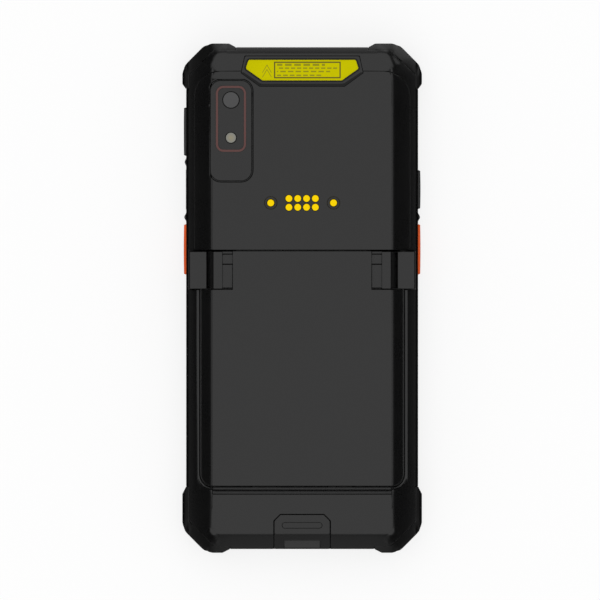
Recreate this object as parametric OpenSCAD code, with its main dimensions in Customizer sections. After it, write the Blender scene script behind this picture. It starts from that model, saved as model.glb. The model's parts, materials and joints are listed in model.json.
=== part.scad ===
// Rugged handheld data terminal lying on its screen, back side up.
// X runs across the body, Y runs towards the scanning end, Z is up.
// The origin is at the middle of the bounding box, on the surface that it lies on.

/* [Body] */
// Width of the housing without the corner bumpers
body_w = 73.1; // [66:0.1:88]
// Length of the housing without the corner bumpers
body_l = 158; // [156:0.5:190]
// Height of the flat back above the surface it lies on
body_t = 16.5; // [16:0.1:20]
// Width of the sloped strip along each side of the back
slope_w = 9.15; // [8.8:0.05:10]
// Wall of the side and end walls
wall = 2.2; // [1.8:0.1:2.4]
// Skin of the upper cover
cover_skin = 1.5; // [1.2:0.1:1.8]
// Corner radius of the upper cover's head end
cover_r = 8; // [6:0.5:10]
// Leg of the 45 degree cut at each corner of the housing
corner_cut = 8.45; // [6:0.05:9]
// Height of the parting line between front frame and rear housing
seam_z = 6.4; // [6.2:0.1:6.6]
// Radius of the shoulder between flat back and sloped side
shoulder_r = 2.2; // [1.5:0.1:3]
// Radius between sloped side and side wall
side_r = 4; // [3:0.1:5]
// Radius along the front edge
front_r = 1.1; // [0.6:0.1:1.2]

/* [Bumpers] */
// How far the bumpers stand out from sides and ends
bumper_proud = 1.2; // [0.8:0.1:1.6]
// How deep the bumpers are let into the housing
bumper_inset = 0.8; // [0.6:0.1:1]
// How far the bumper's front flange reaches in over the frame
flange_reach = 1.6; // [1:0.1:1.8]
// Depth of the bumper's front flange
flange_t = 0.9; // [0.7:0.1:1]

/* [Front] */
// Height of the bezel above the surface, which the bumper flanges touch
lip_z = 0.3; // [0.2:0.05:0.4]
// Distance from the housing's side to the cover glass
bezel_side = 3.55; // [3.4:0.05:5]
// Distance from the housing's ends to the cover glass
bezel_end = 5.4; // [5.4:0.05:8]
// Thickness of the cover glass
glass_t = 1.1; // [0.8:0.1:1.1]
// Depth of the glass below the bezel
glass_recess = 0.5; // [0.3:0.1:0.5]
// Corner radius of the cover glass
glass_r = 7; // [7:0.1:9]
// Distance from the glass's side to the display module
display_side = 1.3; // [1.2:0.1:3]
// Distance from the glass's foot end to the display module
display_foot = 10.1; // [9:0.1:14]
// Distance from the glass's head end to the display module
display_head = 7.1; // [7:0.1:12]

/* [Top hood] */
// Height of the hood above the flat back
hood_rise = 0.4; // [0.2:0.05:0.6]
// Distance from the housing's top end to the hood's crease
hood_l = 7.5; // [6.5:0.1:8]
// Width of the scan window
window_w = 24; // [18:0.5:28]
// Height of the scan window
window_h = 5.4; // [4:0.1:5.6]

/* [Camera] */
// Width of the camera plate
camera_plate_w = 13.2; // [12:0.1:14]
// Length of the camera plate
camera_plate_l = 31.7; // [30:0.1:34]
// Radius of the camera window
camera_r = 2.5; // [2:0.1:3]
// Radius of the flash window
flash_r = 1.6; // [1.2:0.1:2]

/* [Contacts] */
// Pitch of the contact pads
contact_pitch = 2.77; // [2.4:0.01:3]
// Radius of a contact pad
contact_r = 1.1; // [0.8:0.05:1.15]
// Distance between the two locating sockets
socket_spacing = 19.76; // [18:0.01:22]
// Radius of a locating socket
socket_r = 2; // [1.6:0.05:2.4]
// Depth of a locating socket
socket_depth = 0.8; // [0.5:0.05:0.9]

/* [Battery pack] */
// Distance from the housing's side to the battery pack
rail_w = 4.85; // [4.8:0.05:6]
// Length of the battery pack
pack_l = 73.9; // [72:0.1:76]
// Gap between pack and rail
pack_gap = 0.6; // [0.4:0.1:0.6]
// Gap across the two end seams
seam_gap = 0.4; // [0.35:0.05:0.6]
// Wall of the pack's shells
pack_wall = 0.9; // [0.7:0.1:1]
// Travel of each latch
latch_travel = 2.5; // [2:0.1:2.6]
// Length of each latch along the body
latch_l = 11.6; // [11:0.1:12]

/* [Keys] */
// Height of the side keys
key_h = 3; // [2.4:0.1:3.2]
// Length of each scan key
scan_key_l = 16; // [14:0.1:17]
// Length of the volume key
volume_key_l = 15.4; // [13:0.1:16]
// Length of the power key
power_key_l = 12.4; // [10:0.1:13]
// Travel of a pressed key
key_travel = 0.4; // [0.2:0.05:0.4]

/* [USB cover] */
// Width of the rubber USB cover
flap_w = 17.7; // [16:0.1:19]
// Length of the rubber USB cover on the back
flap_l = 10.9; // [10.4:0.1:12]

/* [Hidden] */
half_w = body_w / 2;
half_l = body_l / 2;
flat_half = half_w - slope_w;
glass_w = body_w - 2 * bezel_side;
glass_l = body_l - 2 * bezel_end;
display_w = glass_w - 2 * display_side;
slope = 45;
eps = 0.01;
fit = 0.05;
key_fit = 0.12;
arc_steps = 5;
turn = 2 * half_l;
corner_sum = half_w + half_l - corner_cut;
corner_slope = 50;
corner_r = 3.5;
corner_top_s = corner_sum / sqrt(2) - 4.23;
hood_end_r = 1.4;
hood_edge = 2;
hood_tilt = 0.15;
hood_ramp = 2.5;
hood_y = half_l - hood_l;
hood_z = body_t + hood_rise;
foot_edge = 3.8;
foot_drop = 0.3;
foot_r = 2.4;

// Heights of the layers, from the screen to the back
glass_z = lip_z + glass_recess;
glass_back_z = glass_z + glass_t;
tape_t = 0.2;
shelf_z = glass_back_z + tape_t;
display_t = 1.6;
display_play = 0.2;
display_y = [display_foot - glass_l / 2, glass_l / 2 - display_head];
plate_z = shelf_z + 1.7;
plate_t = 0.8;
plate_top = plate_z + plate_t;
board_z = plate_top + 0.4;
board_t = 0.9;
board_top = board_z + board_t;
sub_z = board_top + 0.1;
sub_top = sub_z + board_t;
bay_under = 8;
bay_floor = 8.9;
ledge_z = 9.4;
cover_under = body_t - cover_skin;

// Battery bay and pack
pack_half = half_w - rail_w;
bay_half = pack_half + pack_gap;
pack_z = bay_floor + 0.2;
bay_foot = -half_l + 19.5;
pack_foot = bay_foot + seam_gap;
pack_head = pack_foot + pack_l;
bay_head = pack_head + seam_gap;
pack_corner_r = 3.5;
rim_w = 0.8;
rim_z = slope_z(bay_half + rim_w);
pack_split_z = body_t - 4.1;
toe_x = [8, 16];
toe_z = [pack_z + 0.9, pack_z + 2.1];
toe_l = 1.6;
bevel = [[0, 1.8], [1.1, 0.6], [2.2, 0.1]];

// Latches: all X values are distances from the middle of the body
latch_head = pack_head - 0.2;
latch_foot = latch_head - latch_l;
latch_out = half_w - 0.95;
latch_step = pack_half - 1.6;
latch_groove = latch_step - 0.6;
latch_body = latch_groove - 1.4;
latch_in = latch_body - 3;
latch_arm_in = latch_in - 5.6;
pocket_in = latch_in - latch_travel - 0.7;
deep_in = latch_body - latch_travel - 0.3;
pocket_z = body_t - 4.7;
latch_grip_t = 1.25;
grip_top = body_t - 3.1;
finger_top = body_t - 0.2;
finger_under = body_t - 1;
finger_floor = body_t - 1.1;
arm_t = 0.9;
arm_y = [latch_head - 3.8, latch_head - 0.8];
arm_z = finger_under - arm_t;
spring_y = latch_foot + 3;
spring_z = body_t - 2.9;
spring_r = 1;
spring_wire = 0.3;
spring_in = latch_body - 6.9;
spring_turns = 6;
block_in = latch_arm_in - latch_travel - 0.8;
cell_head = latch_foot - 1.2;

// Side keys, placed along Y by their distance from the head end
key_z = 4.3;
key_in = half_w - wall;
key_flange_t = 0.6;
key_flange_over = 0.8;
key_proud = 0.55;
power_proud = 0.77;
volume_proud = 0.7;
scan_key_y = half_l - 63.6;
volume_key_y = half_l - 26.5;
power_key_y = half_l - 44.75;
strip_t = 0.4;
dome_t = 0.3;
strip_x = key_in - key_flange_t - key_travel - dome_t - strip_t - 0.25;
guard_y = [half_l - 53.45, half_l - 36.1];
key_room_z = key_z - key_h / 2 - 0.4;
key_pocket_y = [scan_key_y - scan_key_l / 2 - 1.4, volume_key_y + volume_key_l / 2 + 1.4];
power_pocket_y = power_key_y + power_key_l / 2 + 1.4;

// USB cover
flap_head = -half_l + flap_l;
flap_half = flap_w / 2;
flap_fit = 0.12;
notch_half = flap_half - 3.28;
stud_x = flap_half - 3.85;
flap_under = body_t - 1.5;
flap_leg = 3;
flap_low = seam_z + 0.2;
hinge_y = flap_head - 2.2;
hinge_z = body_t - foot_drop + 0.1;
port_z = sub_top + 1.6;
port_w = 8.94;
port_h = 3.2;
port_wall_y = -half_l + 3.15;

// Camera, label and contacts
camera_x = -(flat_half - 5);
camera_y = half_l - 16.6;
flash_y = camera_y - 11.9;
plate_pos = [-(flat_half - 5), half_l - 26.25];
plate_rise = 0.35;
plate_bed = body_t - 0.95;
label_w = 35.6;
hood_block = label_w / 2 + 1.4;
contact_y = bay_head + 14.8;
contact_base = cover_under - 1.6;
block_l = 7.4;
scan_engine_w = window_w - 2.4;
scan_engine_l = 13.6;
scan_engine_z = [6.5, hood_z - 2.4];
window_z = 10.1;
hood_half = half_w - 12.55;
foot_half = half_w - 8.55;
board_half = half_w - 9.05;
board_foot = bay_foot + 11.5;
mic_x = flap_half + 3.15;
speaker_x = flap_half + 2.15;
grille_x = flap_half + 3.55;
flash_z = plate_bed - 1.65;
screw_x = half_w - 6.75;
screw_ys = [bay_foot + 5.5, bay_foot + 37.5, bay_head - 7.2];
screw_r = 0.8;
screw_head_r = 1.6;

BLACK = [0.055, 0.055, 0.06];
RUBBER = [0.04, 0.04, 0.045];
GLASS = [0.02, 0.02, 0.025];
GOLD = [0.95, 0.75, 0.2];
STEEL = [0.65, 0.66, 0.68];
BOARD = [0.05, 0.25, 0.12];
YELLOW = [0.75, 0.75, 0.02];
ORANGE = [0.85, 0.32, 0.12];
RED = [0.55, 0.08, 0.07];

// ---- outlines ----

// Points along an arc about (cx, cy) from angle a0 to a1
function arc(cx, cy, r, a0, a1, n = arc_steps) =
    [for (i = [0:n]) let (a = a0 + (a1 - a0) * i / n) [cx + r * cos(a), cy + r * sin(a)]];

// Arc of radius r that joins the upright at wall_x to the line through p, whose normal is at angle a
function edge_arc(wall_x, p, a, r) =
    let (z = p[1] + ((p[0] - wall_x + r) * cos(a) - r) / sin(a))
    arc(wall_x - r, z, r, 0, a);

// A right half mirrored to the left and put together as one outline
function mirrored(half) =
    concat(half, [for (i = [len(half) - 1:-1:0]) [-half[i][0], half[i][1]]]);

// Height of the sloped side at distance x from the middle
function slope_z(x) =
    body_t - shoulder_r + shoulder_r / sin(slope) - (x - flat_half) / tan(slope);

// Cross-section of the body, grown outwards by grow, from z0 up to the height top
function side_outline(grow, z0, top) =
    let (w = half_w + grow, shift = top - body_t, flat = flat_half - shift)
    mirrored(concat(
        arc(w - front_r, z0 + front_r, front_r, -90, 0),
        edge_arc(w, [flat_half + shoulder_r * cos(slope), body_t - shoulder_r
            + shoulder_r * sin(slope)], slope, side_r),
        arc(flat, top - shoulder_r, shoulder_r, slope, 90)
    ));

// Long section of the body, as points of Y and Z
function end_outline(grow, z0) =
    let (l = half_l + grow)
    concat(
        arc(-l + front_r, z0 + front_r, front_r, 180, 270),
        arc(l - front_r, z0 + front_r, front_r, -90, 0),
        edge_arc(l, [half_l - hood_edge, hood_z - hood_tilt], slope, hood_end_r),
        [[half_l - hood_edge, hood_z - hood_tilt], [hood_y, hood_z],
            [hood_y - hood_ramp, body_t], [bay_foot - bevel[2][0], body_t],
            [foot_edge - half_l, body_t - foot_drop]],
        [for (p = reversed(edge_arc(l, [half_l - foot_edge, body_t - foot_drop], slope, foot_r)))
            [-p[0], p[1]]]
    );

function reversed(list) = [for (i = [len(list) - 1:-1:0]) list[i]];

// Section across a corner, as points of diagonal distance and Z
function corner_outline(grow, z0) =
    let (s = corner_sum / sqrt(2) + grow)
    mirrored(concat(
        arc(s - front_r, z0 + front_r, front_r, -90, 0),
        edge_arc(s, [corner_top_s, body_t - 0.3], corner_slope, corner_r),
        [[corner_top_s - 3, body_t + 2.2]]
    ));

// Plan of the space inside an even wall w: a rectangle with cut corners
function inner_plan(w) =
    let (x = half_w - w, y = half_l - w, c = corner_sum - w * sqrt(2))
    [[x, c - x], [c - y, y], [y - c, y], [-x, c - x], [-x, x - c], [y - c, -y], [c - y, -y], [x, x - c]];

// Plan of the bumper at the corner of +X and +Y
function bumper_plan(side_end, side_ramp, end_in, end_ramp, out = 0) =
    let (
        w = half_w + bumper_proud + out, l = half_l + bumper_proud + out,
        c = corner_sum + (bumper_proud + out) * sqrt(2), f = 3,
        xi = half_w - bumper_inset, yi = half_l - bumper_inset,
        ci = corner_sum - bumper_inset * sqrt(2)
    )
    concat(
        [[xi, side_end], [half_w + out, side_end], [w, side_end + side_ramp]],
        arc(w - f, c - f * sqrt(2) - w + f, f, 0, 45, 3),
        arc(c - f * sqrt(2) - l + f, l - f, f, 45, 90, 3),
        [[end_in + end_ramp, l], [end_in, half_l + out], [end_in, yi], [ci - yi, yi], [xi, ci - xi]]
    );

// ---- helpers ----

// Extrudes an outline of X and Z along Y, from y0 to y1
module along_y(y0, y1) {
    translate([0, y1, 0]) rotate([90, 0, 0]) linear_extrude(y1 - y0) children();
}

// Extrudes an outline of Y and Z along X, from x0 to x1
module along_x(x0, x1) {
    translate([x0, 0, 0]) rotate([90, 0, 90]) linear_extrude(x1 - x0) children();
}

// Extrudes a plan from z0 to z1
module upright(z0, z1) {
    translate([0, 0, z0]) linear_extrude(z1 - z0) children();
}

// A block given by its lowest and highest corners
module block(low, high) {
    translate(low) cube(high - low);
}

// A block and its mirror image, from x0 to x1 on each side
module twin_block(x0, x1, y, z) {
    for (side = [-1, 1]) scale_x(side) block([x0, y[0], z[0]], [x1, y[1], z[1]]);
}

// Mirrors to the left when side is -1
module scale_x(side) {
    mirror([side < 0 ? 1 : 0, 0, 0]) children();
}

// An upright cylinder at a point of the plan
module post(p, r, z0, z1) {
    translate([p[0], p[1], z0]) cylinder(h = z1 - z0, r = r, $fn = 48);
}

// Rectangle with round corners, from exact circles and squares
module round_rect(w, l, r) {
    square([w - 2 * r, l], center = true);
    square([w, l - 2 * r], center = true);
    for (x = [-1, 1], y = [-1, 1])
        translate([x * (w / 2 - r), y * (l / 2 - r)]) circle(r, $fn = 48);
}

// Slot with round ends, length w and height h
module slot(w, h) {
    square([w - h, h], center = true);
    for (x = [-1, 1]) translate([x * (w - h) / 2, 0]) circle(h / 2, $fn = 48);
}

// The whole outer shape, grown outwards by grow, standing on z0
module envelope(grow = 0, z0 = lip_z) {
    intersection() {
        along_y(-turn, turn) polygon(side_outline(grow, z0, hood_z));
        along_x(-turn, turn) polygon(end_outline(grow, z0));
        rotate([0, 0, 45]) along_y(-turn, turn) polygon(corner_outline(grow, z0));
        rotate([0, 0, -45]) along_y(-turn, turn) polygon(corner_outline(grow, z0));
    }
}

// Space of the four bumpers inside the housing's outer shape
module bumper_space() {
    for (side = [-1, 1], end = [-1, 1]) scale_x(side) mirror([0, end < 0 ? 1 : 0, 0])
        bumper_prism(end, 4);
}

// Upright prism of one bumper, with its front flange, at the corner of +X and +Y
module bumper_prism(end, out) {
    side_end = end > 0 ? half_l - 13.1 : half_l - 19.7;
    side_ramp = end > 0 ? 1.6 : 2.4;
    end_in = end > 0 ? 20.8 : 22.7;
    end_ramp = end > 0 ? 2.2 : 2.4;
    reach = flange_reach;
    ci = corner_sum - (bumper_inset + reach) * sqrt(2);
    xi = half_w - bumper_inset;
    yi = half_l - bumper_inset;
    upright(-1, hood_z + 1)
        polygon(bumper_plan(side_end, side_ramp, end_in, end_ramp, out));
    upright(-1, flange_t)
        polygon([[xi, ci - xi], [xi + eps, corner_sum - xi], [corner_sum - yi, yi + eps], [ci - yi, yi]]);
}

module bumper(end) {
    intersection() {
        envelope(bumper_proud + 0.05, 0);
        bumper_prism(end, 0);
    }
}

// ---- front ----

// Ring of the front: bezel, side walls up to the parting line, shelf for glass and display
module front_frame() {
    color(BLACK) difference() {
        union() {
            intersection() {
                envelope();
                upright(0, seam_z) square([2 * turn, 2 * turn], center = true);
            }
            key_guards();
        }
        bumper_space();
        upright(-1, shelf_z) round_rect(glass_w + 0.3, glass_l + 0.3, glass_r + 0.15);
        block([-display_w / 2 - display_play, display_y[0] - display_play, 0],
            [display_w / 2 + display_play, display_y[1] + display_play, plate_z + 1]);
        upright(plate_z, seam_z + 1) polygon(inner_plan(wall));
        earpiece_hole();
        post([20, half_l - 9.5], 2.6, 0, plate_z + 1);
        key_pockets();
        key_slots();
    }
}

// Small pointed guards beside the keys
module key_guards() {
    for (g = [[-1, guard_y[0], 0.6], [-1, guard_y[1], 0.45], [1, guard_y[0], 0.6]])
        scale_x(g[0]) upright(key_z - key_h / 2, key_z + key_h / 2)
            polygon([[half_w - 1, g[1] - 1.3], [half_w, g[1] - 1.3], [half_w + g[2], g[1] - 0.2],
                [half_w + g[2], g[1] + 0.2], [half_w, g[1] + 1.3], [half_w - 1, g[1] + 1.3]]);
}

module earpiece_hole() {
    translate([0, half_l - 8.4, 0]) upright(0, plate_z + 1) slot(13, 3);
}

// Room behind the side walls for key flanges and switch strips
module key_pockets() {
    block([-key_in, key_pocket_y[0], key_room_z], [-strip_x, key_pocket_y[1], seam_z + 1]);
    block([strip_x, key_pocket_y[0], key_room_z], [key_in, power_pocket_y, seam_z + 1]);
}

module key_slots() {
    key_slot(-1, scan_key_y, scan_key_l);
    key_slot(1, scan_key_y, scan_key_l);
    key_slot(-1, volume_key_y, volume_key_l);
    key_slot(1, power_key_y, power_key_l);
    key_slot(-1, power_key_y, power_key_l);
}

module key_slot(side, y, l) {
    scale_x(side) block([key_in - 1, y - l / 2 - key_fit, key_z - key_h / 2 - key_fit],
        [half_w + 2, y + l / 2 + key_fit, key_z + key_h / 2 + key_fit]);
}

module cover_glass() {
    color(GLASS) difference() {
        upright(glass_z, glass_back_z) round_rect(glass_w, glass_l, glass_r);
        translate([0, half_l - 8.4, 0]) upright(0, plate_z) slot(12, 1.2);
    }
}

// Adhesive ring between the glass and the frame's shelf
module glass_tape() {
    color(RUBBER) difference() {
        upright(glass_back_z, shelf_z) round_rect(glass_w - 0.4, glass_l - 0.4, glass_r);
        block([-display_w / 2 - 0.3, display_y[0] - 0.3, 0],
            [display_w / 2 + 0.3, display_y[1] + 0.3, plate_z]);
        earpiece_hole();
        post([20, half_l - 9.5], 2.6, 0, plate_z);
    }
}

module display_module() {
    color(STEEL) block([-display_w / 2, display_y[0], glass_back_z],
        [display_w / 2, display_y[1], glass_back_z + display_t]);
}

// Cast plate that carries the display on one side and the boards on the other
module chassis_plate() {
    color(STEEL) difference() {
        union() {
            upright(plate_z, plate_top) intersection() {
                polygon(inner_plan(wall + 0.15));
                translate([-half_w, -half_l + 4]) square([body_w, body_l - 17]);
            }
            for (p = main_posts()) post(p, 1.5, plate_top - eps, board_z);
            for (p = sub_posts()) post(p, 1.5, plate_top - eps, sub_z);
        }
        key_plate_notches();
        for (x = [-1, 1], y = screw_ys) post([x * screw_x, y], screw_r, plate_z - 1, plate_top + 1);
    }
}

function main_posts() =
    [for (x = [-1, 1], y = [board_foot + 4, half_l - 23]) [x * (board_half - 3.5), y]];

function sub_posts() = [[-25, -half_l + 16.5], [5, -half_l + 16.5], [-25, -half_l + 7.5]];

module key_plate_notches() {
    block([-half_w, key_pocket_y[0], plate_z - 1], [0.2 - strip_x, key_pocket_y[1], plate_top + 1]);
    block([strip_x - 0.2, key_pocket_y[0], plate_z - 1], [half_w, power_pocket_y, plate_top + 1]);
}

// ---- rear housing ----

// Rear shell: side rails, battery bay, hood and foot block
module rear_housing() {
    color(BLACK) difference() {
        union() {
            intersection() {
                envelope();
                upright(seam_z, hood_z + 1) square([2 * turn, 2 * turn], center = true);
            }
            for (side = [-1, 1]) scale_x(side)
                latch_ramp(half_w - 2.7, latch_out, ledge_z - 0.5);
        }
        bumper_space();
        upright(seam_z - 1, bay_under) polygon(inner_plan(wall + 0.05));
        upper_room();
        bay_room();
        foot_room();
        hood_room();
        bay_rim();
        latch_notches();
        toe_slots();
        flap_recess();
        port_hole();
        bay_openings();
        label_pocket(0);
    }
    color(BLACK) difference() {
        for (x = [-1, 1], y = screw_ys) post([x * screw_x, y], 1.9, plate_top, bay_under);
        for (x = [-1, 1], y = screw_ys) post([x * screw_x, y], screw_r, plate_top - 1, bay_under + 1);
    }
}

// Opening that the upper cover closes, and the room under it
module upper_room() {
    ledge = 1.5;
    upright(seam_z - 1, ledge_z + eps) cover_plan(1.6, ledge);
    block([-hood_half, bay_head + 1.6, seam_z - 1], [hood_half, hood_y + 3, ledge_z]);
    upright(ledge_z, hood_z + 1) cover_plan(-eps, 0);
}

// Plan of the upper cover with round head corners, shrunk by gap
module cover_plan(foot, gap) {
    x = cover_half() - gap;
    y = hood_y - gap;
    half = concat([[x, bay_head + foot]], arc(x - cover_r, y - cover_r, cover_r, 0, 90));
    polygon(concat(half, [for (p = reversed(half)) [-p[0], p[1]]]));
}

function cover_half() = half_w - 2.65;

// Battery bay, open at the back
module bay_room() {
    upright(bay_floor, hood_z + 1) bay_plan(0);
}

// Plan of the bay, grown sideways and downwards by grow, with round foot corners
module bay_plan(grow) {
    x = bay_half + grow;
    r = pack_corner_r + pack_gap + grow;
    y = bay_foot - grow;
    polygon(concat([[x, bay_head], [x, y + r]], arc(x - r, y + r, r, 0, -90),
        arc(r - x, y + r, r, -90, -180), [[-x, y + r], [-x, bay_head]]));
}

// Rim along the bay: a flat ledge at the sides, a tilted facet at the corners, a bevel at the foot
module bay_rim() {
    r = pack_corner_r + pack_gap + rim_w;
    x = bay_half + rim_w;
    y = bay_foot - rim_w;
    difference() {
        upright(rim_z, hood_z + 1) bay_plan(rim_w);
        for (side = [-1, 1]) scale_x(side) translate([x - r / 2, y + r / 2, rim_z])
            rotate([0, 0, 45]) rotate([0, -atan((body_t - rim_z) / (r * sqrt(2))), 0])
                translate([-3 * r, -2 * r, -2 * r]) cube([3 * r, 4 * r, 2 * r]);
        block([-x + r, bay_foot - 2 * rim_w, 0], [x - r, bay_foot, body_t - bevel[0][1]]);
    }
    foot = [for (b = bevel) [bay_foot - b[0], body_t - b[1]]];
    along_x(-flat_half - 0.8, flat_half + 0.8)
        polygon(concat(foot, [[bay_foot - bevel[2][0] - 0.3, hood_z + 1], [bay_foot + 1, hood_z + 1],
            [bay_foot + 1, body_t - bevel[0][1]]]));
}

// Room in the foot block for the lower board, speaker and motor
module foot_room() {
    block([-foot_half, port_wall_y + 1.55, seam_z - 1], [foot_half, bay_foot - 1.6, body_t - 3.1]);
}

// Room under the hood for the scan engine, with the scan window's opening
module hood_room() {
    block([-hood_half, hood_y - 1, seam_z - 1], [hood_half, half_l - wall, hood_z - 2.3]);
    block([-window_w / 2 + 1, half_l - wall - 1, window_z - window_h / 2 + 0.8],
        [window_w / 2 - 1, half_l + 1, window_z + window_h / 2 - 0.8]);
    block([-window_w / 2 - fit, half_l - 1.6, window_z - window_h / 2 - fit],
        [window_w / 2 + fit, half_l + 1, window_z + window_h / 2 + fit]);
}

// The rails are cut away where the latches are gripped
module latch_notches() {
    twin_block(pack_half, half_w + 1, [latch_foot - 0.3, bay_head], [bay_floor, hood_z + 1]);
}

// Ramp from the sloped side up to the height of the latch's grip
module latch_ramp(x0, x1, z0) {
    z1 = ledge_z + 0.2;
    y1 = bay_head + 0.6 + grip_top - z1;
    along_x(x0, x1)
        polygon([[bay_head, z0], [bay_head, grip_top], [bay_head + 0.6, grip_top], [y1, z1], [y1, z0]]);
}

// Slots in the bay's foot wall for the pack's toes
module toe_slots() {
    twin_block(toe_x[0] - 0.4, toe_x[1] + 0.4, [bay_foot - 2, bay_foot + 1],
        [toe_z[0] - 0.7, toe_z[1] + 0.3]);
}

// Recess for the rubber cover, round from the back to the foot
module flap_recess() {
    x = flap_half + flap_fit;
    upright(flap_under - flap_fit, hood_z + 1) flap_plan(flap_fit);
    block([-x, -half_l - 1, seam_z - 1], [x, -half_l + flap_leg + flap_fit, hood_z + 1]);
    for (s = [-1, 1]) post([s * stud_x, flap_head - 1.1], 0.6, flap_under - 1.5, hood_z);
}

module port_hole() {
    translate([0, 0, port_z]) along_y(-half_l, port_wall_y + 3) slot(port_w + 0.3, port_h + 0.3);
    translate([-mic_x, 0, port_z - 0.6]) along_y(-half_l - 1, port_wall_y + 3) circle(0.6, $fn = 24);
    for (i = [0:3]) block([grille_x + 2 * i, -half_l - 1, 7.2],
        [grille_x + 0.9 + 2 * i, port_wall_y + 3, 9.8]);
}

// Openings in the bay's floor: connector, card socket and screw heads
module bay_openings() {
    block([-6.4, bay_head - 6.8, bay_under - 1], [6.4, bay_head - 1.4, bay_floor + 1]);
    block([-25, bay_foot + 14.5, bay_under - 1], [-8, bay_foot + 29.9, bay_floor + 1]);
    for (x = [-1, 1], y = screw_ys) {
        post([x * screw_x, y], screw_head_r + 0.1, bay_under + 0.01, bay_floor + 1);
        post([x * screw_x, y], screw_r, bay_under - 1, bay_floor + 1);
    }
}

// ---- upper cover ----

// Inside of the upper cover as a section of X and Z, shrunk by gap
module cover_inside(gap = 0) {
    x = cover_half() - 1.55 - gap;
    drop = cover_skin * sqrt(2) + gap;
    top = cover_under - gap;
    z = slope_z(x) - drop;
    polygon(mirrored([[x, seam_z], [x, z], [x - (top - z), top]]));
}

module upper_cover() {
    color(BLACK) difference() {
        union() {
            intersection() {
                envelope();
                upright(ledge_z, hood_z + 1) cover_plan(0, fit);
            }
            for (side = [-1, 1]) scale_x(side) latch_ramp(half_w - 7, cover_half() - fit, ledge_z);
        }
        intersection() {
            along_y(bay_head - 1, hood_y + 1) cover_inside();
            union() {
                upright(ledge_z - 1, hood_z) cover_plan(-1, 1.6);
                block([-hood_half, bay_head, ledge_z - 1], [hood_half, hood_y + 1, hood_z]);
            }
        }
        label_pocket(0);
        camera_pocket();
        for (p = contact_grid()) post(p, contact_r + 0.04, 0, hood_z + 1);
        for (x = [-1, 1]) {
            post([x * socket_spacing / 2, contact_y], socket_r, body_t - socket_depth, hood_z + 1);
            post([x * socket_spacing / 2, contact_y], 1.2, 0, hood_z + 1);
        }
    }
    color(BLACK) along_y(bay_head, bay_head + 1.5) difference() {
        cover_inside(0);
        translate([-half_w, 0]) square([body_w, ledge_z + 0.02]);
    }
}

module label_pocket(gap) {
    upright(label_bed() - gap, hood_z + 1) polygon(hexagon(fit));
}

function label_bed() = body_t - 0.9;

// Outline of the raised hexagon on the hood, grown by g
function hexagon(g) =
    let (x = hood_block + g, xb = hood_block - 5.9 + g, xt = hood_block - 1.2 + g)
    [[-x, hood_y - 0.6], [-xb, hood_y - 4.8 - g], [xb, hood_y - 4.8 - g], [x, hood_y - 0.6],
        [xt, hood_y + 4.7 + g], [-xt, hood_y + 4.7 + g]];

// Outline of the label, grown by g
function label_outline(g) =
    let (x = label_w / 2 + g, xb = label_w / 2 - 5.3 + g, xt = label_w / 2 - 0.9 + g)
    [[-x, hood_y + 0.75], [-xb, hood_y - 3 - g], [xb, hood_y - 3 - g], [x, hood_y + 0.75],
        [xt, hood_y + 3.55 + g], [-xt, hood_y + 3.55 + g]];

module label_bezel() {
    color(BLACK) difference() {
        upright(label_bed(), hood_z) polygon(hexagon(0));
        upright(hood_z - 0.4, hood_z + 1) polygon(label_outline(0.25));
    }
}

module label_plate() {
    color(YELLOW) upright(hood_z - 0.4, hood_z) polygon(label_outline(0));
}

// ---- scanner ----

module scan_window() {
    color(RED) block([-window_w / 2, half_l - 1.6, window_z - window_h / 2],
        [window_w / 2, half_l - 0.3, window_z + window_h / 2]);
}

module scan_engine() {
    w = scan_engine_w / 2;
    y1 = half_l - wall - 0.1;
    y0 = y1 - scan_engine_l;
    color([0.12, 0.12, 0.13]) difference() {
        block([-w, y0, scan_engine_z[0]], [w, y1, scan_engine_z[1]]);
        for (x = [-5.2, 5.6]) translate([x, y1 - 2.5, window_z]) rotate([-90, 0, 0])
            cylinder(h = 4, r = 2.1, $fn = 48);
    }
}

// ---- camera ----

module camera_pocket() {
    translate(plate_pos) upright(plate_bed, hood_z + 1)
        round_rect(camera_plate_w + 0.8, camera_plate_l + 0.8, 3.8);
    post([camera_x, camera_y], 3.6, 0, hood_z);
    post([camera_x, flash_y], 2.2, 0, hood_z);
}

module camera_plate() {
    color(BLACK) difference() {
        translate(plate_pos) upright(plate_bed, body_t + plate_rise)
            round_rect(camera_plate_w, camera_plate_l, 3.4);
        trim_ring(0.02, body_t + plate_rise - 0.25, hood_z + 1);
        post([camera_x, camera_y], camera_r + fit, 0, hood_z + 1);
        post([camera_x, flash_y], flash_r + fit, 0, hood_z + 1);
    }
}

// Thin coloured ring round camera and flash
module trim_ring(g, z0, z1) {
    translate([camera_x, (camera_y + flash_y) / 2]) difference() {
        upright(z0, z1) round_rect(9.5 + 2 * g, 20.8 + 2 * g, 2.4 + g);
        upright(z0 - 1, z1 + 1) round_rect(8.1 - 2 * g, 19.4 - 2 * g, 1.7 - g);
    }
}

module camera_trim() {
    color(RED) trim_ring(0, body_t + plate_rise - 0.25, body_t + plate_rise + 0.03);
}

module camera_lens() {
    color(GLASS) post([camera_x, camera_y], camera_r, plate_bed + 0.2, body_t + plate_rise - 0.1);
}

module flash_lens() {
    color([0.75, 0.72, 0.62]) post([camera_x, flash_y], flash_r, plate_bed + 0.2, body_t + plate_rise - 0.1);
}

module camera_module() {
    color([0.1, 0.1, 0.11]) {
        block([camera_x - 4.5, camera_y - 4.5, 9.5], [camera_x + 4.5, camera_y + 4.5, 12.5]);
        post([camera_x, camera_y], 3.4, 12.5 - eps, plate_bed - 0.05);
    }
}

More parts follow.
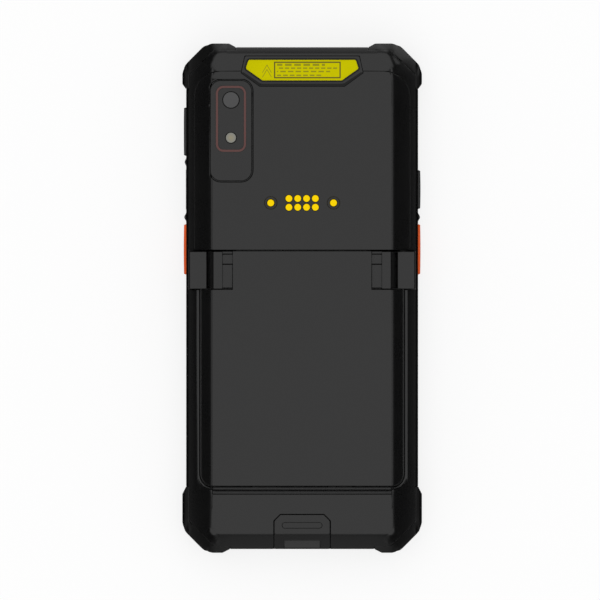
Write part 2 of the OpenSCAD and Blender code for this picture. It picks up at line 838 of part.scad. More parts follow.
// Moulded stand on the main board for camera and flash
module camera_bracket() {
    color([0.2, 0.2, 0.21]) {
        block([camera_x - 5, flash_y - 4, 8.2], [camera_x + 5, camera_y + 4.5, 9.5]);
        block([camera_x - 5, flash_y - 4, board_top], [camera_x + 5, flash_y - 2.8, 8.2 + eps]);
        block([camera_x - 5, flash_y + 6, board_top], [camera_x + 5, flash_y + 7.2, 8.2 + eps]);
        block([camera_x - 2.5, flash_y - 2.5, 9.5 - eps], [camera_x + 2.5, flash_y + 2.5, flash_z]);
    }
}

module flash_board() {
    color(BOARD) block([camera_x - 3, flash_y - 3, flash_z], [camera_x + 3, flash_y + 3, flash_z + 0.7]);
    color([0.9, 0.85, 0.4]) post([camera_x, flash_y], 1.2, flash_z + 0.7 - eps, plate_bed + 0.15);
}

// ---- contacts ----

function contact_grid() =
    [for (i = [-1.5:1.5], j = [-0.5, 0.5]) [i * contact_pitch, contact_y + j * contact_pitch]];

module contact_block() {
    w = socket_spacing / 2 + 1.8;
    color([0.08, 0.08, 0.08]) difference() {
        block([-w, contact_y - block_l / 2, contact_base], [w, contact_y + block_l / 2, cover_under]);
        for (p = contact_grid()) post(p, contact_r, 0, hood_z);
        for (x = [-1, 1]) post([x * socket_spacing / 2, contact_y], 1.15, 0, hood_z);
    }
}

module contact_pins() {
    color(GOLD) for (p = contact_grid()) {
        post(p, contact_r, contact_base - 0.4, body_t);
        post(p, contact_r - 0.25, body_t - eps, body_t + 0.12);
    }
}

module locating_contacts() {
    color(GOLD) for (x = [-1, 1]) post([x * socket_spacing / 2, contact_y], 1.15,
        contact_base - 0.4, body_t - socket_depth);
}

// ---- boards ----

module main_board() {
    color(BOARD) block([-board_half, board_foot, board_z], [board_half, half_l - 17.5, board_top]);
}

// Open-bottomed metal can with thin walls
module can(low, high) {
    t = 0.25;
    difference() {
        block(low, high);
        block(low + [t, t, -1], high - [t, t, t]);
    }
}

module shield_cans() {
    color(STEEL) {
        can([1.5 - board_half, bay_head - 39.2, board_top], [-4, bay_head - 12.2, 7.7]);
        can([0, bay_head - 39.2, board_top], [board_half - 1.5, bay_head - 12.2, 7.7]);
        can([-12, half_l - 43, board_top], [board_half - 3.5, half_l - 21, 7.7]);
    }
}

module card_socket() {
    color(STEEL) difference() {
        block([-24.5, bay_foot + 14.9, board_top], [-8.5, bay_foot + 29.5, 8.3]);
        block([-23.5, bay_foot + 14.5, board_top + 0.5], [-9.5, bay_foot + 28.5, 7.9]);
    }
}

module battery_connector() {
    color([0.85, 0.84, 0.78]) block([-6, bay_head - 6.4, board_top], [6, bay_head - 1.8, bay_floor + 0.02]);
    color(GOLD) for (i = [-2:2]) block([2 * i - 0.5, bay_head - 5.6, bay_floor],
        [2 * i + 0.5, bay_head - 2.6, pack_z - 0.05]);
}

// Foam ring round the connector, squeezed under the pack
module connector_seal() {
    color(RUBBER) upright(bay_floor, pack_z - 0.05) translate([0, bay_head - 4.1]) difference() {
        square([15.4, 7.4], center = true);
        square([13.8, 5.8], center = true);
    }
}

module sub_board() {
    color(BOARD) block([0.4 - foot_half, port_wall_y + 1.7, sub_z], [9, bay_foot - 1.8, sub_top]);
}

// Flat cable between the two boards
module board_flex() {
    color([0.7, 0.45, 0.1]) block([-20, bay_foot - 5, board_top], [-10, board_foot + 2, sub_z]);
}

module usb_socket() {
    y0 = port_wall_y + 0.05;
    y1 = y0 + 7.5;
    color(STEEL) translate([0, 0, port_z]) difference() {
        along_y(y0, y1) slot(port_w, port_h);
        along_y(y0 - 1, y1 - 1) slot(port_w - 0.6, port_h - 0.6);
    }
    color([0.1, 0.1, 0.1]) translate([0, 0, port_z])
        block([-3.3, y0 + 1.4, -0.35], [3.3, y1 - 0.9, 0.35]);
}

module speaker() {
    color([0.1, 0.1, 0.1]) block([speaker_x, port_wall_y + 1.7, plate_top],
        [speaker_x + 16, bay_foot - 4, 10.2]);
}

module vibration_motor() {
    color(STEEL) post([-21, -half_l + 11.5], 4.5, sub_top, sub_top + 2.8);
}

module microphone() {
    color(STEEL) block([-mic_x - 1.5, port_wall_y + 1.75, sub_top],
        [1.5 - mic_x, port_wall_y + 5.5, sub_top + 1.3]);
}

module earpiece() {
    color([0.1, 0.1, 0.1]) translate([0, half_l - 8.4])
        upright(plate_z, plate_z + 2.3) round_rect(15, 6, 1.5);
}

module earpiece_mesh() {
    color(STEEL) translate([0, half_l - 8.4]) upright(glass_z + 0.3, glass_z + 0.6) slot(11.9, 1.1);
}

module front_camera() {
    color([0.1, 0.1, 0.11]) {
        block([16.8, half_l - 12.7, plate_z], [23.2, half_l - 6.3, plate_z + 2]);
        post([20, half_l - 9.5], 2.4, glass_back_z + 0.1, plate_z + eps);
    }
}

// Antenna loop on the inside of the upper cover
module antenna_film() {
    color([0.7, 0.45, 0.1]) upright(cover_under - 0.15, cover_under) difference() {
        translate([-12, contact_y + 6]) square([37, 25]);
        translate([-8, contact_y + 10]) square([29, 17]);
    }
}

// Flexible strip with dome switches, seen from inside the side wall
module key_strip(side, y0, y1, domes) {
    color([0.7, 0.45, 0.1]) scale_x(side) {
        block([strip_x, y0, key_z - 1.7], [strip_x + strip_t, y1, key_z + 1.8]);
        for (y = domes) translate([strip_x + strip_t - eps, y, key_z]) rotate([0, 90, 0])
            cylinder(h = dome_t, r = 1.2, $fn = 32);
    }
}

module key_strip_left() {
    key_strip(-1, key_pocket_y[0] + 0.3, key_pocket_y[1] - 0.3,
        [scan_key_y, volume_key_y - 5, volume_key_y + 5]);
}

module key_strip_right() {
    key_strip(1, key_pocket_y[0] + 0.3, power_pocket_y - 0.3, [scan_key_y, power_key_y]);
}

module housing_screws() {
    color(STEEL) for (x = [-1, 1], y = screw_ys) difference() {
        union() {
            post([x * screw_x, y], screw_head_r, bay_under + 0.01, bay_floor - 0.05);
            post([x * screw_x, y], screw_r, plate_z + 0.1, bay_under + 0.1);
        }
        translate([x * screw_x, y, bay_floor - 0.5]) linear_extrude(1) circle(0.7, $fn = 6);
    }
}

// ---- USB cover ----

// Rubber wrap from the back round the foot, between two Y values
module flap_body(y0, y1) {
    intersection() {
        envelope();
        union() {
            block([-flap_half, y0, flap_under], [flap_half, y1, hood_z]);
            if (y0 < -half_l + flap_leg)
                block([-flap_half, y0, flap_low], [flap_half, min(y1, -half_l + flap_leg), hood_z]);
        }
        upright(0, hood_z + 1) flap_plan(0);
    }
}

// The cover's plan, with cut head corners, grown by g
module flap_plan(g) {
    x = flap_half + g;
    y = flap_head + g;
    cut = 2 + 0.6 * g;
    polygon([[-x, -half_l - 1], [x, -half_l - 1], [x, y - cut], [x - cut, y], [cut - x, y], [-x, y - cut]]);
}

module usb_cover_anchor() {
    color(RUBBER) {
        flap_body(hinge_y + 0.05, flap_head);
        for (s = [-1, 1]) post([s * stud_x, flap_head - 1.1], 0.55, flap_under - 1.4, flap_under + eps);
    }
}

module usb_cover() {
    color(RUBBER) {
        difference() {
            flap_body(-half_l - 1, hinge_y - 0.05);
            block([-notch_half, -half_l - 1, body_t - 4.3], [notch_half, -half_l + 2.2, hood_z + 1]);
        }
        translate([0, hinge_y - 1.2, 0]) upright(flap_under + 0.5, body_t - foot_drop + 0.3)
            slot(flap_w - 5.1, 1.8);
        usb_plug();
    }
}

// Short tapered plug that enters the socket's mouth
module usb_plug() {
    y = -half_l + flap_leg;
    along_x(-3.3, 3.3) polygon([[y - 0.5, port_z - 1.1], [y + 1.1, port_z - 1.1],
        [y + 1.1, port_z + 0.1], [y, port_z + 1.1], [y - 0.5, port_z + 1.1]]);
}

// ---- keys ----

// Key cap with its inner flange; the flange's outer face is gap behind the wall
module side_key(side, y, l, proud, gap) {
    h = key_h / 2;
    x1 = half_w + proud;
    c = 0.5;
    color(ORANGE) scale_x(side) translate([0, y, key_z]) {
        intersection() {
            upright(-h, h) polygon([[key_in - gap - eps, -l / 2], [x1 - c, -l / 2], [x1, -l / 2 + 1],
                [x1, l / 2 - 1], [x1 - c, l / 2], [key_in - gap - eps, l / 2]]);
            along_y(-l, l) polygon([[key_in - gap - 1, -h], [x1 - 0.3, -h], [x1, -h + 0.4],
                [x1, h - 0.4], [x1 - 0.3, h], [key_in - gap - 1, h]]);
        }
        block([key_in - gap - key_flange_t, -l / 2 - key_flange_over, -h - 0.25],
            [key_in - gap, l / 2 + key_flange_over, h + 0.25]);
    }
}

module scan_key_left() {
    side_key(-1, scan_key_y, scan_key_l, key_proud, 0.1);
}

module scan_key_right() {
    side_key(1, scan_key_y, scan_key_l, key_proud, 0.1);
}

module volume_key() {
    side_key(-1, volume_key_y, volume_key_l, volume_proud, 0.4);
}

module power_key() {
    side_key(1, power_key_y, power_key_l, power_proud, 0.1);
}

// Fixed insert that closes the unused key slot
module key_blank() {
    h = key_h / 2 + key_fit - 0.04;
    l = power_key_l / 2 + key_fit - 0.04;
    color(BLACK) block([-half_w - 0.1, power_key_y - l, key_z - h], [-key_in, power_key_y + l, key_z + h]);
}

// ---- battery pack ----

// Outer shape of the pack
module pack_outer() {
    r = pack_corner_r;
    intersection() {
        envelope();
        upright(pack_z, hood_z) polygon(concat([[pack_half, pack_head], [pack_half, pack_foot + r]],
            arc(pack_half - r, pack_foot + r, r, 0, -90),
            arc(r - pack_half, pack_foot + r, r, -90, -180), [[-pack_half, pack_head]]));
    }
}

// Room for the cell and for the pack's board
module pack_room(z0, z1) {
    block([-pack_half + 1.2, pack_foot + 1.2, z0], [pack_half - 1.2, cell_head, z1]);
    block([-block_in, cell_head - eps, z0], [block_in, pack_head - 1, z1]);
}

// Space cleared in the pack for the two latches
module latch_pockets() {
    y0 = latch_foot - 0.3;
    slot_y = [arm_y[0] - 0.2, arm_y[1] + 0.15];
    twin_block(deep_in, half_w, [y0, pack_head + 1], [pocket_z, hood_z + 1]);
    twin_block(pocket_in, deep_in + eps, [y0 + 0.5, pack_head + 1], [finger_floor, hood_z + 1]);
    twin_block(pocket_in, deep_in + eps, [y0, y0 + 0.5 + eps], [finger_floor - 1.2, hood_z + 1]);
    twin_block(pocket_in, deep_in + eps, slot_y, [arm_z - 0.1, hood_z + 1]);
    twin_block(latch_arm_in - latch_travel - 0.2, pocket_in + eps, slot_y, [arm_z - 0.1, finger_under + 0.1]);
    for (side = [-1, 1]) scale_x(side) translate([spring_in - latch_travel - 0.2, spring_y, spring_z])
        rotate([0, 90, 0])
            cylinder(h = deep_in - spring_in + latch_travel + 1, r = spring_r + 0.15, $fn = 48);
}

module pack_case() {
    color(BLACK) difference() {
        intersection() {
            pack_outer();
            upright(0, pack_split_z) square([2 * turn, 2 * turn], center = true);
        }
        pack_room(pack_z + 0.8, hood_z);
        latch_pockets();
        for (i = [-2:2]) pack_contact(i, 0.03);
    }
    color(BLACK) twin_block(toe_x[0], toe_x[1], [pack_foot - toe_l, pack_foot + eps], toe_z);
}

module pack_cover() {
    color(BLACK) difference() {
        intersection() {
            pack_outer();
            upright(pack_split_z, hood_z + 1) square([2 * turn, 2 * turn], center = true);
        }
        intersection() {
            pack_room(0, body_t - pack_wall);
            along_y(-turn, turn) polygon(mirrored([[pack_half - 1.2, 0], [pack_half - 1.2, pack_split_z],
                [pack_half - 1.2 - (body_t - pack_wall - pack_split_z), body_t - pack_wall]]));
        }
        latch_pockets();
    }
}

module battery_cell() {
    x = pack_half - 4.5;
    color([0.75, 0.76, 0.78]) block([-x, pack_foot + 1.6, pack_z + 0.85],
        [x, cell_head - 0.4, body_t - pack_wall - 0.15]);
}

module pack_board() {
    x = block_in - 0.4;
    color(BOARD) block([-x, cell_head + 1, pack_z + 0.8], [x, pack_head - 1.6, pack_z + 1.6]);
}

// One contact strip let into the pack's floor
module pack_contact(i, g) {
    block([2 * i - 0.6 - g, bay_head - 6 - g, pack_z - (g > 0 ? 1 : 0)],
        [2 * i + 0.6 + g, bay_head - 2.2 + g, pack_z + 0.8 + (g > 0 ? 0.1 : 0)]);
}

module pack_contacts() {
    color(GOLD) for (i = [-2:2]) pack_contact(i, 0);
}

// Squeeze latch on the +X side: grip, groove, finger and guide arm
module latch(side) {
    color(BLACK) scale_x(side) {
        along_y(latch_foot, latch_head) polygon([[latch_body, pocket_z + fit], [latch_out, pocket_z + fit],
            [latch_out, grip_top - 0.3], [latch_out - 0.3, grip_top], [latch_step, grip_top],
            [latch_step, grip_top - 1], [latch_groove, grip_top - 1], [latch_groove, grip_top - 0.2],
            [latch_body + 0.3, finger_top - 0.5], [latch_body - 0.3, finger_top],
            [latch_in, finger_top], [latch_in, finger_under], [latch_body, finger_under]]);
        block([latch_out - latch_grip_t, latch_foot, bay_floor + 0.3],
            [latch_out, latch_head, pocket_z + fit + eps]);
        block([latch_arm_in, arm_y[0], arm_z], [latch_in + 1, arm_y[1], finger_under]);
        block([latch_in + 0.2, arm_y[0], finger_under - eps], [latch_in + 1, arm_y[1], finger_under + 0.2]);
        translate([latch_body - 1.2, spring_y, spring_z]) rotate([0, 90, 0])
            cylinder(h = 1.3, r = spring_r - spring_wire - 0.1, $fn = 32);
    }
}

module latch_right() {
    latch(1);
}

module latch_left() {
    latch(-1);
}

// Compression spring along X, swept as a tube round a helix
module latch_spring(side) {
    sides = 8;
    steps = 16 * spring_turns;
    len_x = latch_body - spring_in - spring_wire;
    r = spring_r - spring_wire / 2;
    rings = [for (i = [0:steps]) let (a = 360 * spring_turns * i / steps)
        [for (k = [0:sides - 1]) let (b = 360 * k / sides, q = r + spring_wire / 2 * cos(b))
            [spring_in + spring_wire / 2 + len_x * i / steps + spring_wire / 2 * sin(b),
                spring_y + q * cos(a), spring_z + q * sin(a)]]];
    points = [for (ring = rings) for (p = ring) p];
    walls = [for (i = [0:steps - 1], k = [0:sides - 1]) let (n = (k + 1) % sides)
        [i * sides + k, i * sides + n, (i + 1) * sides + n, (i + 1) * sides + k]];
    caps = [[for (k = [sides - 1:-1:0]) k], [for (k = [0:sides - 1]) steps * sides + k]];
    color(STEEL) scale_x(side) polyhedron(points, concat(walls, caps));
}

module latch_spring_left() {
    latch_spring(-1);
}

module latch_spring_right() {
    latch_spring(1);
}

// ---- corner bumpers ----

module bumper_top_right() {
    color(RUBBER) bumper(1);
}

module bumper_top_left() {
    color(RUBBER) mirror([1, 0, 0]) bumper(1);
}

// The foot bumpers are cut from the body's shape at the foot end
module foot_bumper() {
    intersection() {
        envelope(bumper_proud + 0.05, 0);
        mirror([0, 1, 0]) bumper_prism(-1, 0);
    }
}

module bumper_bottom_right() {
    color(RUBBER) foot_bumper();
}

module bumper_bottom_left() {
    color(RUBBER) mirror([1, 0, 0]) foot_bumper();
}

front_frame();
cover_glass();
glass_tape();
display_module();
chassis_plate();
rear_housing();
upper_cover();
bumper_top_left();
bumper_top_right();
bumper_bottom_left();
bumper_bottom_right();
label_bezel();
label_plate();
scan_window();
scan_engine();
camera_plate();
camera_trim();
camera_lens();
camera_module();
camera_bracket();
flash_lens();
flash_board();
contact_block();
contact_pins();
locating_contacts();
main_board();
shield_cans();
card_socket();
battery_connector();
connector_seal();
sub_board();
board_flex();
usb_socket();
speaker();
vibration_motor();
microphone();
earpiece();
earpiece_mesh();
front_camera();
antenna_film();
key_strip_left();
key_strip_right();
key_blank();
housing_screws();
usb_cover_anchor();
pack_case();
pack_cover();
battery_cell();
pack_board();
pack_contacts();
latch_left();
latch_right();
latch_spring_left();
latch_spring_right();
usb_cover();
volume_key();
scan_key_left();
scan_key_right();
power_key();
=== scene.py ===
"""Rugged handheld data terminal: finished surfaces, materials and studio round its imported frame.

The terminal lies on its screen with its back up. X runs across it, Y towards its head end and Z up.
Lengths inside the functions are millimetres; add_piece() and put_points() turn them into metres.
"""

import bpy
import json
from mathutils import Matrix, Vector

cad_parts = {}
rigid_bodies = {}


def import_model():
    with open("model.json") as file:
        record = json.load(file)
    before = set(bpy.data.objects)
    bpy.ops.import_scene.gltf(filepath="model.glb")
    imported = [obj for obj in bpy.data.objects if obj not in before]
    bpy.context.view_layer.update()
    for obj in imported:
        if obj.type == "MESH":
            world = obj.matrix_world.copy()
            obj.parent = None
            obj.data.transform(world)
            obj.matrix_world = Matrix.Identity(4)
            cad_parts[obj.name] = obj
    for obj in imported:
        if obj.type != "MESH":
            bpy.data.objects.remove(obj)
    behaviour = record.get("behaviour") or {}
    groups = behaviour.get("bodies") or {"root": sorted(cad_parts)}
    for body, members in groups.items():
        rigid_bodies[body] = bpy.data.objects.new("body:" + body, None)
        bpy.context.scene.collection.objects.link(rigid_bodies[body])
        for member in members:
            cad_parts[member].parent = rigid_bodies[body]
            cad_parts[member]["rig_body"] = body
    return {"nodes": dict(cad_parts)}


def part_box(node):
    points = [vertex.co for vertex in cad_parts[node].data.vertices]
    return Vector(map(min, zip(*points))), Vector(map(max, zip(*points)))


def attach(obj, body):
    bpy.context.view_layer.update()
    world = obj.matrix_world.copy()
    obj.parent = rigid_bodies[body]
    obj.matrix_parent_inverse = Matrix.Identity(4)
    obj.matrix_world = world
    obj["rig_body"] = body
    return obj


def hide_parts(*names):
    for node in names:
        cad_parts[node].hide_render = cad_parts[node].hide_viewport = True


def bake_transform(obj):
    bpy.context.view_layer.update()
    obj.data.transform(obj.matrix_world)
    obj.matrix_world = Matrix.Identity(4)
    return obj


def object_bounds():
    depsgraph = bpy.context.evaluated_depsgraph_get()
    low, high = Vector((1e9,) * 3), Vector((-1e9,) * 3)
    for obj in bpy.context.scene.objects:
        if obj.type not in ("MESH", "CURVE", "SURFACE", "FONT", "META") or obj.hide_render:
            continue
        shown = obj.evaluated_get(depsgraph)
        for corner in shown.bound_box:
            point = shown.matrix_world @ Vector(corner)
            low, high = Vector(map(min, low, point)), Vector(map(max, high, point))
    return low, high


bl_info = {
    "name": "Handheld data terminal",
    "version": (1, 0, 0),
    "blender": (4, 5, 0),
    "location": "3D Viewport > Sidebar > Terminal",
    "description": "Finished surfaces, materials and studio of a rugged handheld data terminal",
    "category": "Add Mesh",
}

import json
import math

import bmesh
import bpy
import numpy as np
from bpy.props import FloatProperty, FloatVectorProperty, PointerProperty
from mathutils import Vector

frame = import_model()
CAD_BOX = [list(corner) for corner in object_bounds()]
MM = 0.001

# The back, in millimetres. A pair gives the frame's value and the finished one.
FLAT_Y = (-75.2, -61.7, 69.0, 71.5, 77.0)  # places along the middle
FLAT_Z = (16.2, 16.5, 16.5, 16.9, 16.75)  # heights at these places
SIDE_SUM = 44.81  # x + z of the sloped side
SIDE_ARC = (32.55, 6.6, 4.0)  # centre x, centre z and radius of the arc below it
HEAD_SUM = 93.75  # y + z of the sloped head end
FOOT_SUM = (91.4, 90.4)  # z - y of the sloped foot end
CORNER_SUM = (71.5, 73.3)  # diagonal distance from the middle where the face across a corner starts
HEAD_CORNER_SUM = 75.0  # the same for the finished head corners
CORNER_Z = 16.2  # height where that face starts
CORNER_FALL = math.tan(math.radians(50))  # its slope
CORNER_RISE = 2.5 / 3  # slope of the face's height before it starts
RIM_BEND = (-60.6, 1.1, 0.3)  # y, half width and depth of the crease across the battery pack
ROUNDED_FROM = 7.0  # points above this height are moved
LATCH_RAMP = (29.0, 10.0, 25.0)  # least x, least y and most y of the ramps beside the latches
CORNER_ENDS = (-33.3, -51.6)  # x - y at the ends of a cut corner
CORNER_MOVE = (1.12, 74.9, 76.9)  # move of a cut corner, and diagonal distances where it starts and ends
CORNER_PROUD = (0.05, 2.5, 4.0)  # share of its rise that a bumper keeps at a corner, and two fades to it
PLAN_DEPTH = 1.8  # depth behind its walls to which a bumper's outline is rounded
UPWARD = 0.3  # least rise of the normal of an upper face
ROUNDED_ANGLE = math.radians(28)  # edges that turn by more than this are rounded
GROOVE_LINE = (29.5, 12.4, 13.15)  # x, height and finished height of the inner line of a latch's groove
NEAR = 0.05
STANDING = ((1, 0, 0), (0, 0, 1), (0, 1, 0))  # across, up and out of a face that looks along Y
WHITE = (1, 1, 1, 1)

# Where the upper faces are cut before they are rounded, in the order of the cuts: by x, by y, by the
# diagonal distance from the middle, and by x - y beside the cut corners. The last two have a least
# diagonal distance.
CUTS_X = (26.6, 27.0, 27.4, 27.8, 28.1, 28.4, 28.8, 29.2, 29.7, 30.3, 20.5, 22, 23.5, 25, 26, 31, 32.2, 33.4,
          34.4, 35.2, 35.8, 36.3, 36.8, 37.2)
CUTS_Y = (60, 61.2, 62.4, 63.6, 64.8, 66, 67.2, 68.4, 69.6, 70.8, 72, 72.8, 73.6, 74.1, 74.6, 75.2, 76, 76.7,
          77.3, 78, 78.6, 79.2, 79.7)
CUTS_DIAGONAL = (71.5, 72.6, 73.4, 74.2, 75, 76)
CUTS_BESIDE = (*CORNER_ENDS, -37.9, -42.4, -47.0)
CUT_FROM = (71, 74)


def box_mm(node):
    """Lowest corner, highest corner, size and middle of a frame node, in millimetres."""
    low, high = (np.array(corner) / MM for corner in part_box(node))
    return low, high, high - low, (low + high) / 2


def body_of(node):
    """Name of the body that a frame node rides on."""
    return frame["nodes"][node]["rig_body"]


def colour_prop(name, description, default):
    """A linear colour that a user can change."""
    return FloatVectorProperty(
        name=name, description=description, default=default, size=3, min=0.0, max=1.0, subtype="COLOR"
    )


def length_prop(name, description, default_mm):
    """A length that a user can change, given here in millimetres and kept in metres."""
    return FloatProperty(
        name=name, description=description, default=default_mm * MM, min=0.0, unit="LENGTH", precision=5
    )


def plain_prop(name, description, default):
    """A plain number that a user can change."""
    return FloatProperty(name=name, description=description, default=default, min=0.0)


class TerminalSizes(bpy.types.PropertyGroup):
    """Radii and depths of the finished surfaces."""

    shell_edge: length_prop("Housing edge", "Radius along the edges of the hard shells", 0.2)
    bumper_edge: length_prop("Bumper edge", "Radius along the edges of the rubber bumpers", 0.3)
    latch_edge: length_prop("Latch edge", "Radius along the edges of the latches", 0.14)
    trim_edge: length_prop("Trim edge", "Radius along the edges of small trim", 0.1)
    shoulder_reach: length_prop("Shoulder", "Reach of the rounding between flat back and sides", 1.3)
    end_reach: length_prop("End rounding", "Reach of the rounding between flat back and ends", 0.5)
    corner_reach: length_prop("Corner rounding", "Reach of the rounding round the cut corners", 3.2)
    plan_reach: length_prop("Plan rounding", "Reach of the rounding of the bumpers' outline", 1.7)
    plate_edge: length_prop("Plate edge", "Width of the chamfer along the edges of the camera plate", 0.4)
    cover_edge: length_prop("Port cover edge", "Radius round the outline of the rubber port cover", 0.42)
    cover_corner: length_prop("Port cover corner", "Cut corner of the rubber port cover", 2.0)
    key_crown: length_prop("Key crown", "How far the middle of a side key bulges", 0.1)
    label_corner: length_prop("Label corner", "Corner radius of the label", 0.65)


class TerminalColours(bpy.types.PropertyGroup):
    """Linear base colours of the finishes."""

    shell: colour_prop("Housing", "Black of the moulded housing", (0.0036, 0.0036, 0.0037))
    rubber: colour_prop("Rubber", "Black of the bumpers and the port cover", (0.004, 0.004, 0.004))
    label: colour_prop("Label", "Yellow of the label", (0.56, 0.52, 0.0))
    label_print: colour_prop("Label print", "Grey olive of the label's print", (0.12, 0.1, 0.02))
    trim: colour_prop("Trim", "Dull red of the line round the camera", (0.085, 0.024, 0.02))
    scan_key: colour_prop("Scan key", "Orange of the scan keys", (0.75, 0.1, 0.012))
    gold: colour_prop("Gold", "Plating of the contacts", (1.0, 0.69, 0.004))
    window: colour_prop("Window", "Dark red of the scan window", (0.05, 0.002, 0.003))


class TerminalStage(bpy.types.PropertyGroup):
    """Camera and light."""

    lens: FloatProperty(name="Lens", description="Focal length, long enough to look flat",
                        default=1500.0, min=1.0, unit="CAMERA")
    view_width: length_prop("View width", "Width of the view at the middle of the terminal's height", 189.0)
    sky: plain_prop("Sky", "Radiance of the even light from all round", 1.0)
    floor_paint: plain_prop("Floor paint", "Share of the floor that takes shadow", 0.22)
    head_card: plain_prop("Head card", "Radiance of the card off the head end", 0.38)
    foot_card: plain_prop("Foot card", "Radiance of the card off the foot end", 0.25)
    head_glow: plain_prop("Head glow", "Radiance of the low band off the head end", 0.9)
    foot_glow: plain_prop("Foot glow", "Radiance of the low band off the foot end", 0.35)
    side_glow: plain_prop("Side glow", "Radiance of the low band off the sides", 0.22)
    corner_glow: plain_prop("Corner glow", "Radiance of the low band off the corners", 0.4)
    glow_start: length_prop("Glow start", "Height over the floor where the low band starts", 6.0)


# ---- surfaces ----


def grid_faces(rows, columns, closed_rows=False):
    """Quads of a grid whose columns close on themselves, with its rows closed too where asked."""
    row = np.arange(rows if closed_rows else rows - 1)[:, None]
    column = np.arange(columns)[None, :]
    next_row, next_column = (row + 1) % rows, (column + 1) % columns
    corners = [row * columns + column, row * columns + next_column,
               next_row * columns + next_column, next_row * columns + column]
    return np.stack(np.broadcast_arrays(*corners), -1).reshape(-1, 4)


def circle_outline(radius, steps=48):
    """Points radius (cos a, sin a) for a full turn of a, and their outward normals."""
    angle = np.linspace(0, 2 * np.pi, steps, endpoint=False)
    outward = np.stack([np.cos(angle), np.sin(angle)], -1)
    return radius * outward, outward


def rounded_outline(corners, radius, steps=8):
    """Outline of a convex polygon with arcs at its corners: centre + radius (cos a, sin a), where a turns
    from the normal of the side before the corner to the normal of the side after it."""
    corners = np.asarray(corners, float)
    side = np.roll(corners, -1, 0) - corners
    side /= np.linalg.norm(side, axis=1)[:, None]
    normal = np.stack([side[:, 1], -side[:, 0]], 1)
    before = np.roll(normal, 1, 0)
    centre = corners - radius * (normal + before) / (1 + (normal * before).sum(1))[:, None]
    start = np.arctan2(before[:, 1], before[:, 0])
    turn = np.mod(np.arctan2(normal[:, 1], normal[:, 0]) - start, 2 * np.pi)
    angle = start[:, None] + turn[:, None] * np.linspace(0, 1, steps)
    outward = np.stack([np.cos(angle), np.sin(angle)], -1)
    points = centre[:, None] + radius * outward
    return points.reshape(-1, 2), outward.reshape(-1, 2)


def rectangle(width, height):
    """Corners of a rectangle about the origin, counter-clockwise."""
    x, y = width / 2, height / 2
    return [(-x, -y), (x, -y), (x, y), (-x, y)]


def round_edge(radius, top, steps=5):
    """Profile points over a convex edge: a quarter circle from the side to the top."""
    angle = np.linspace(0, np.pi / 2, steps)
    return [(radius * (math.cos(a) - 1), top + radius * (math.sin(a) - 1), 1.0) for a in angle]


def dome(inset, top, crown, shares=(0.97, 0.9, 0.78, 0.6, 0.4, 0.2, 0.02)):
    """Profile points over a shallow dome inside an edge: height = top + crown (1 - share squared)."""
    return [(-inset, top + crown * (1 - share ** 2), share) for share in shares]


def carried(outline, outward, profile):
    """Rings of a profile carried round an outline: the profile point (offset, height, share) gives the
    ring (outline + outward * offset) * share, lifted to that height."""
    offset, height, share = np.asarray(profile, float).T[:, :, None, None]
    flat = (outline + outward * offset) * share
    return np.concatenate([flat, np.broadcast_to(height, flat.shape[:2] + (1,))], -1)


def placed(rings, origin, across=(1, 0, 0), up=(0, 1, 0), out=(0, 0, 1)):
    """Turns local (u, v, h) into origin + u across + v up + h out."""
    return np.asarray(origin, float) + rings @ np.array([across, up, out], float)


def add_piece(name, grids, material, sharp=40.0, closed_rows=False):
    """One mesh object from grids of rings in millimetres; open ends are capped and doubles merged."""
    points, faces, first = [], [], 0
    for grid in grids:
        rows, columns = grid.shape[:2]
        points.append(grid.reshape(-1, 3))
        faces += (grid_faces(rows, columns, closed_rows) + first).tolist()
        if not closed_rows:
            faces.append(list(range(first + columns - 1, first - 1, -1)))
            faces.append(list(range(first + (rows - 1) * columns, first + rows * columns)))
        first += rows * columns
    mesh = bpy.data.meshes.new(name)
    mesh.from_pydata((np.concatenate(points) * MM).tolist(), [], faces)
    shape = bmesh.new()
    shape.from_mesh(mesh)
    bmesh.ops.remove_doubles(shape, verts=shape.verts, dist=0.002 * MM)
    bmesh.ops.recalc_face_normals(shape, faces=shape.faces)
    shape.to_mesh(mesh)
    shape.free()
    piece = add_object(name, mesh, material)
    mesh.set_sharp_from_angle(angle=math.radians(sharp))
    return piece


def add_object(name, mesh, material):
    """Links a mesh as an object with smooth faces and one material."""
    mesh.materials.clear()
    mesh.materials.append(material)
    mesh.shade_smooth()
    piece = bpy.data.objects.new(name, mesh)
    bpy.context.scene.collection.objects.link(piece)
    return piece


def stand_for(piece, *nodes):
    """The piece stands for the nodes, which are hidden."""
    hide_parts(*nodes)
    return piece


def ride_for(piece, node):
    """The piece rides where the node rides, and stands for it."""
    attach(piece, body_of(node))
    return stand_for(piece, node)


def add_stand_in(name, grids, node, **options):
    """A new piece that rides and stands for a frame node, in the node's finish."""
    return ride_for(add_piece(name, grids, finish(slot_of(node)), **options), node)


def slot_of(node):
    """Material slot of a frame node: the name of the material that it was packed with."""
    return frame["nodes"][node].data.materials[0].name.split(".")[0]


# ---- moulded shells ----


def soft_min(first, second, reach):
    """Smaller of two heights, rounded where they are within reach of each other: the plain minimum less
    a quarter of reach times the square of 1 - |first - second| / reach, where that is above 0."""
    share = np.clip(1 - np.abs(first - second) / reach, 0, None)
    return np.minimum(first, second) - share ** 2 * reach / 4


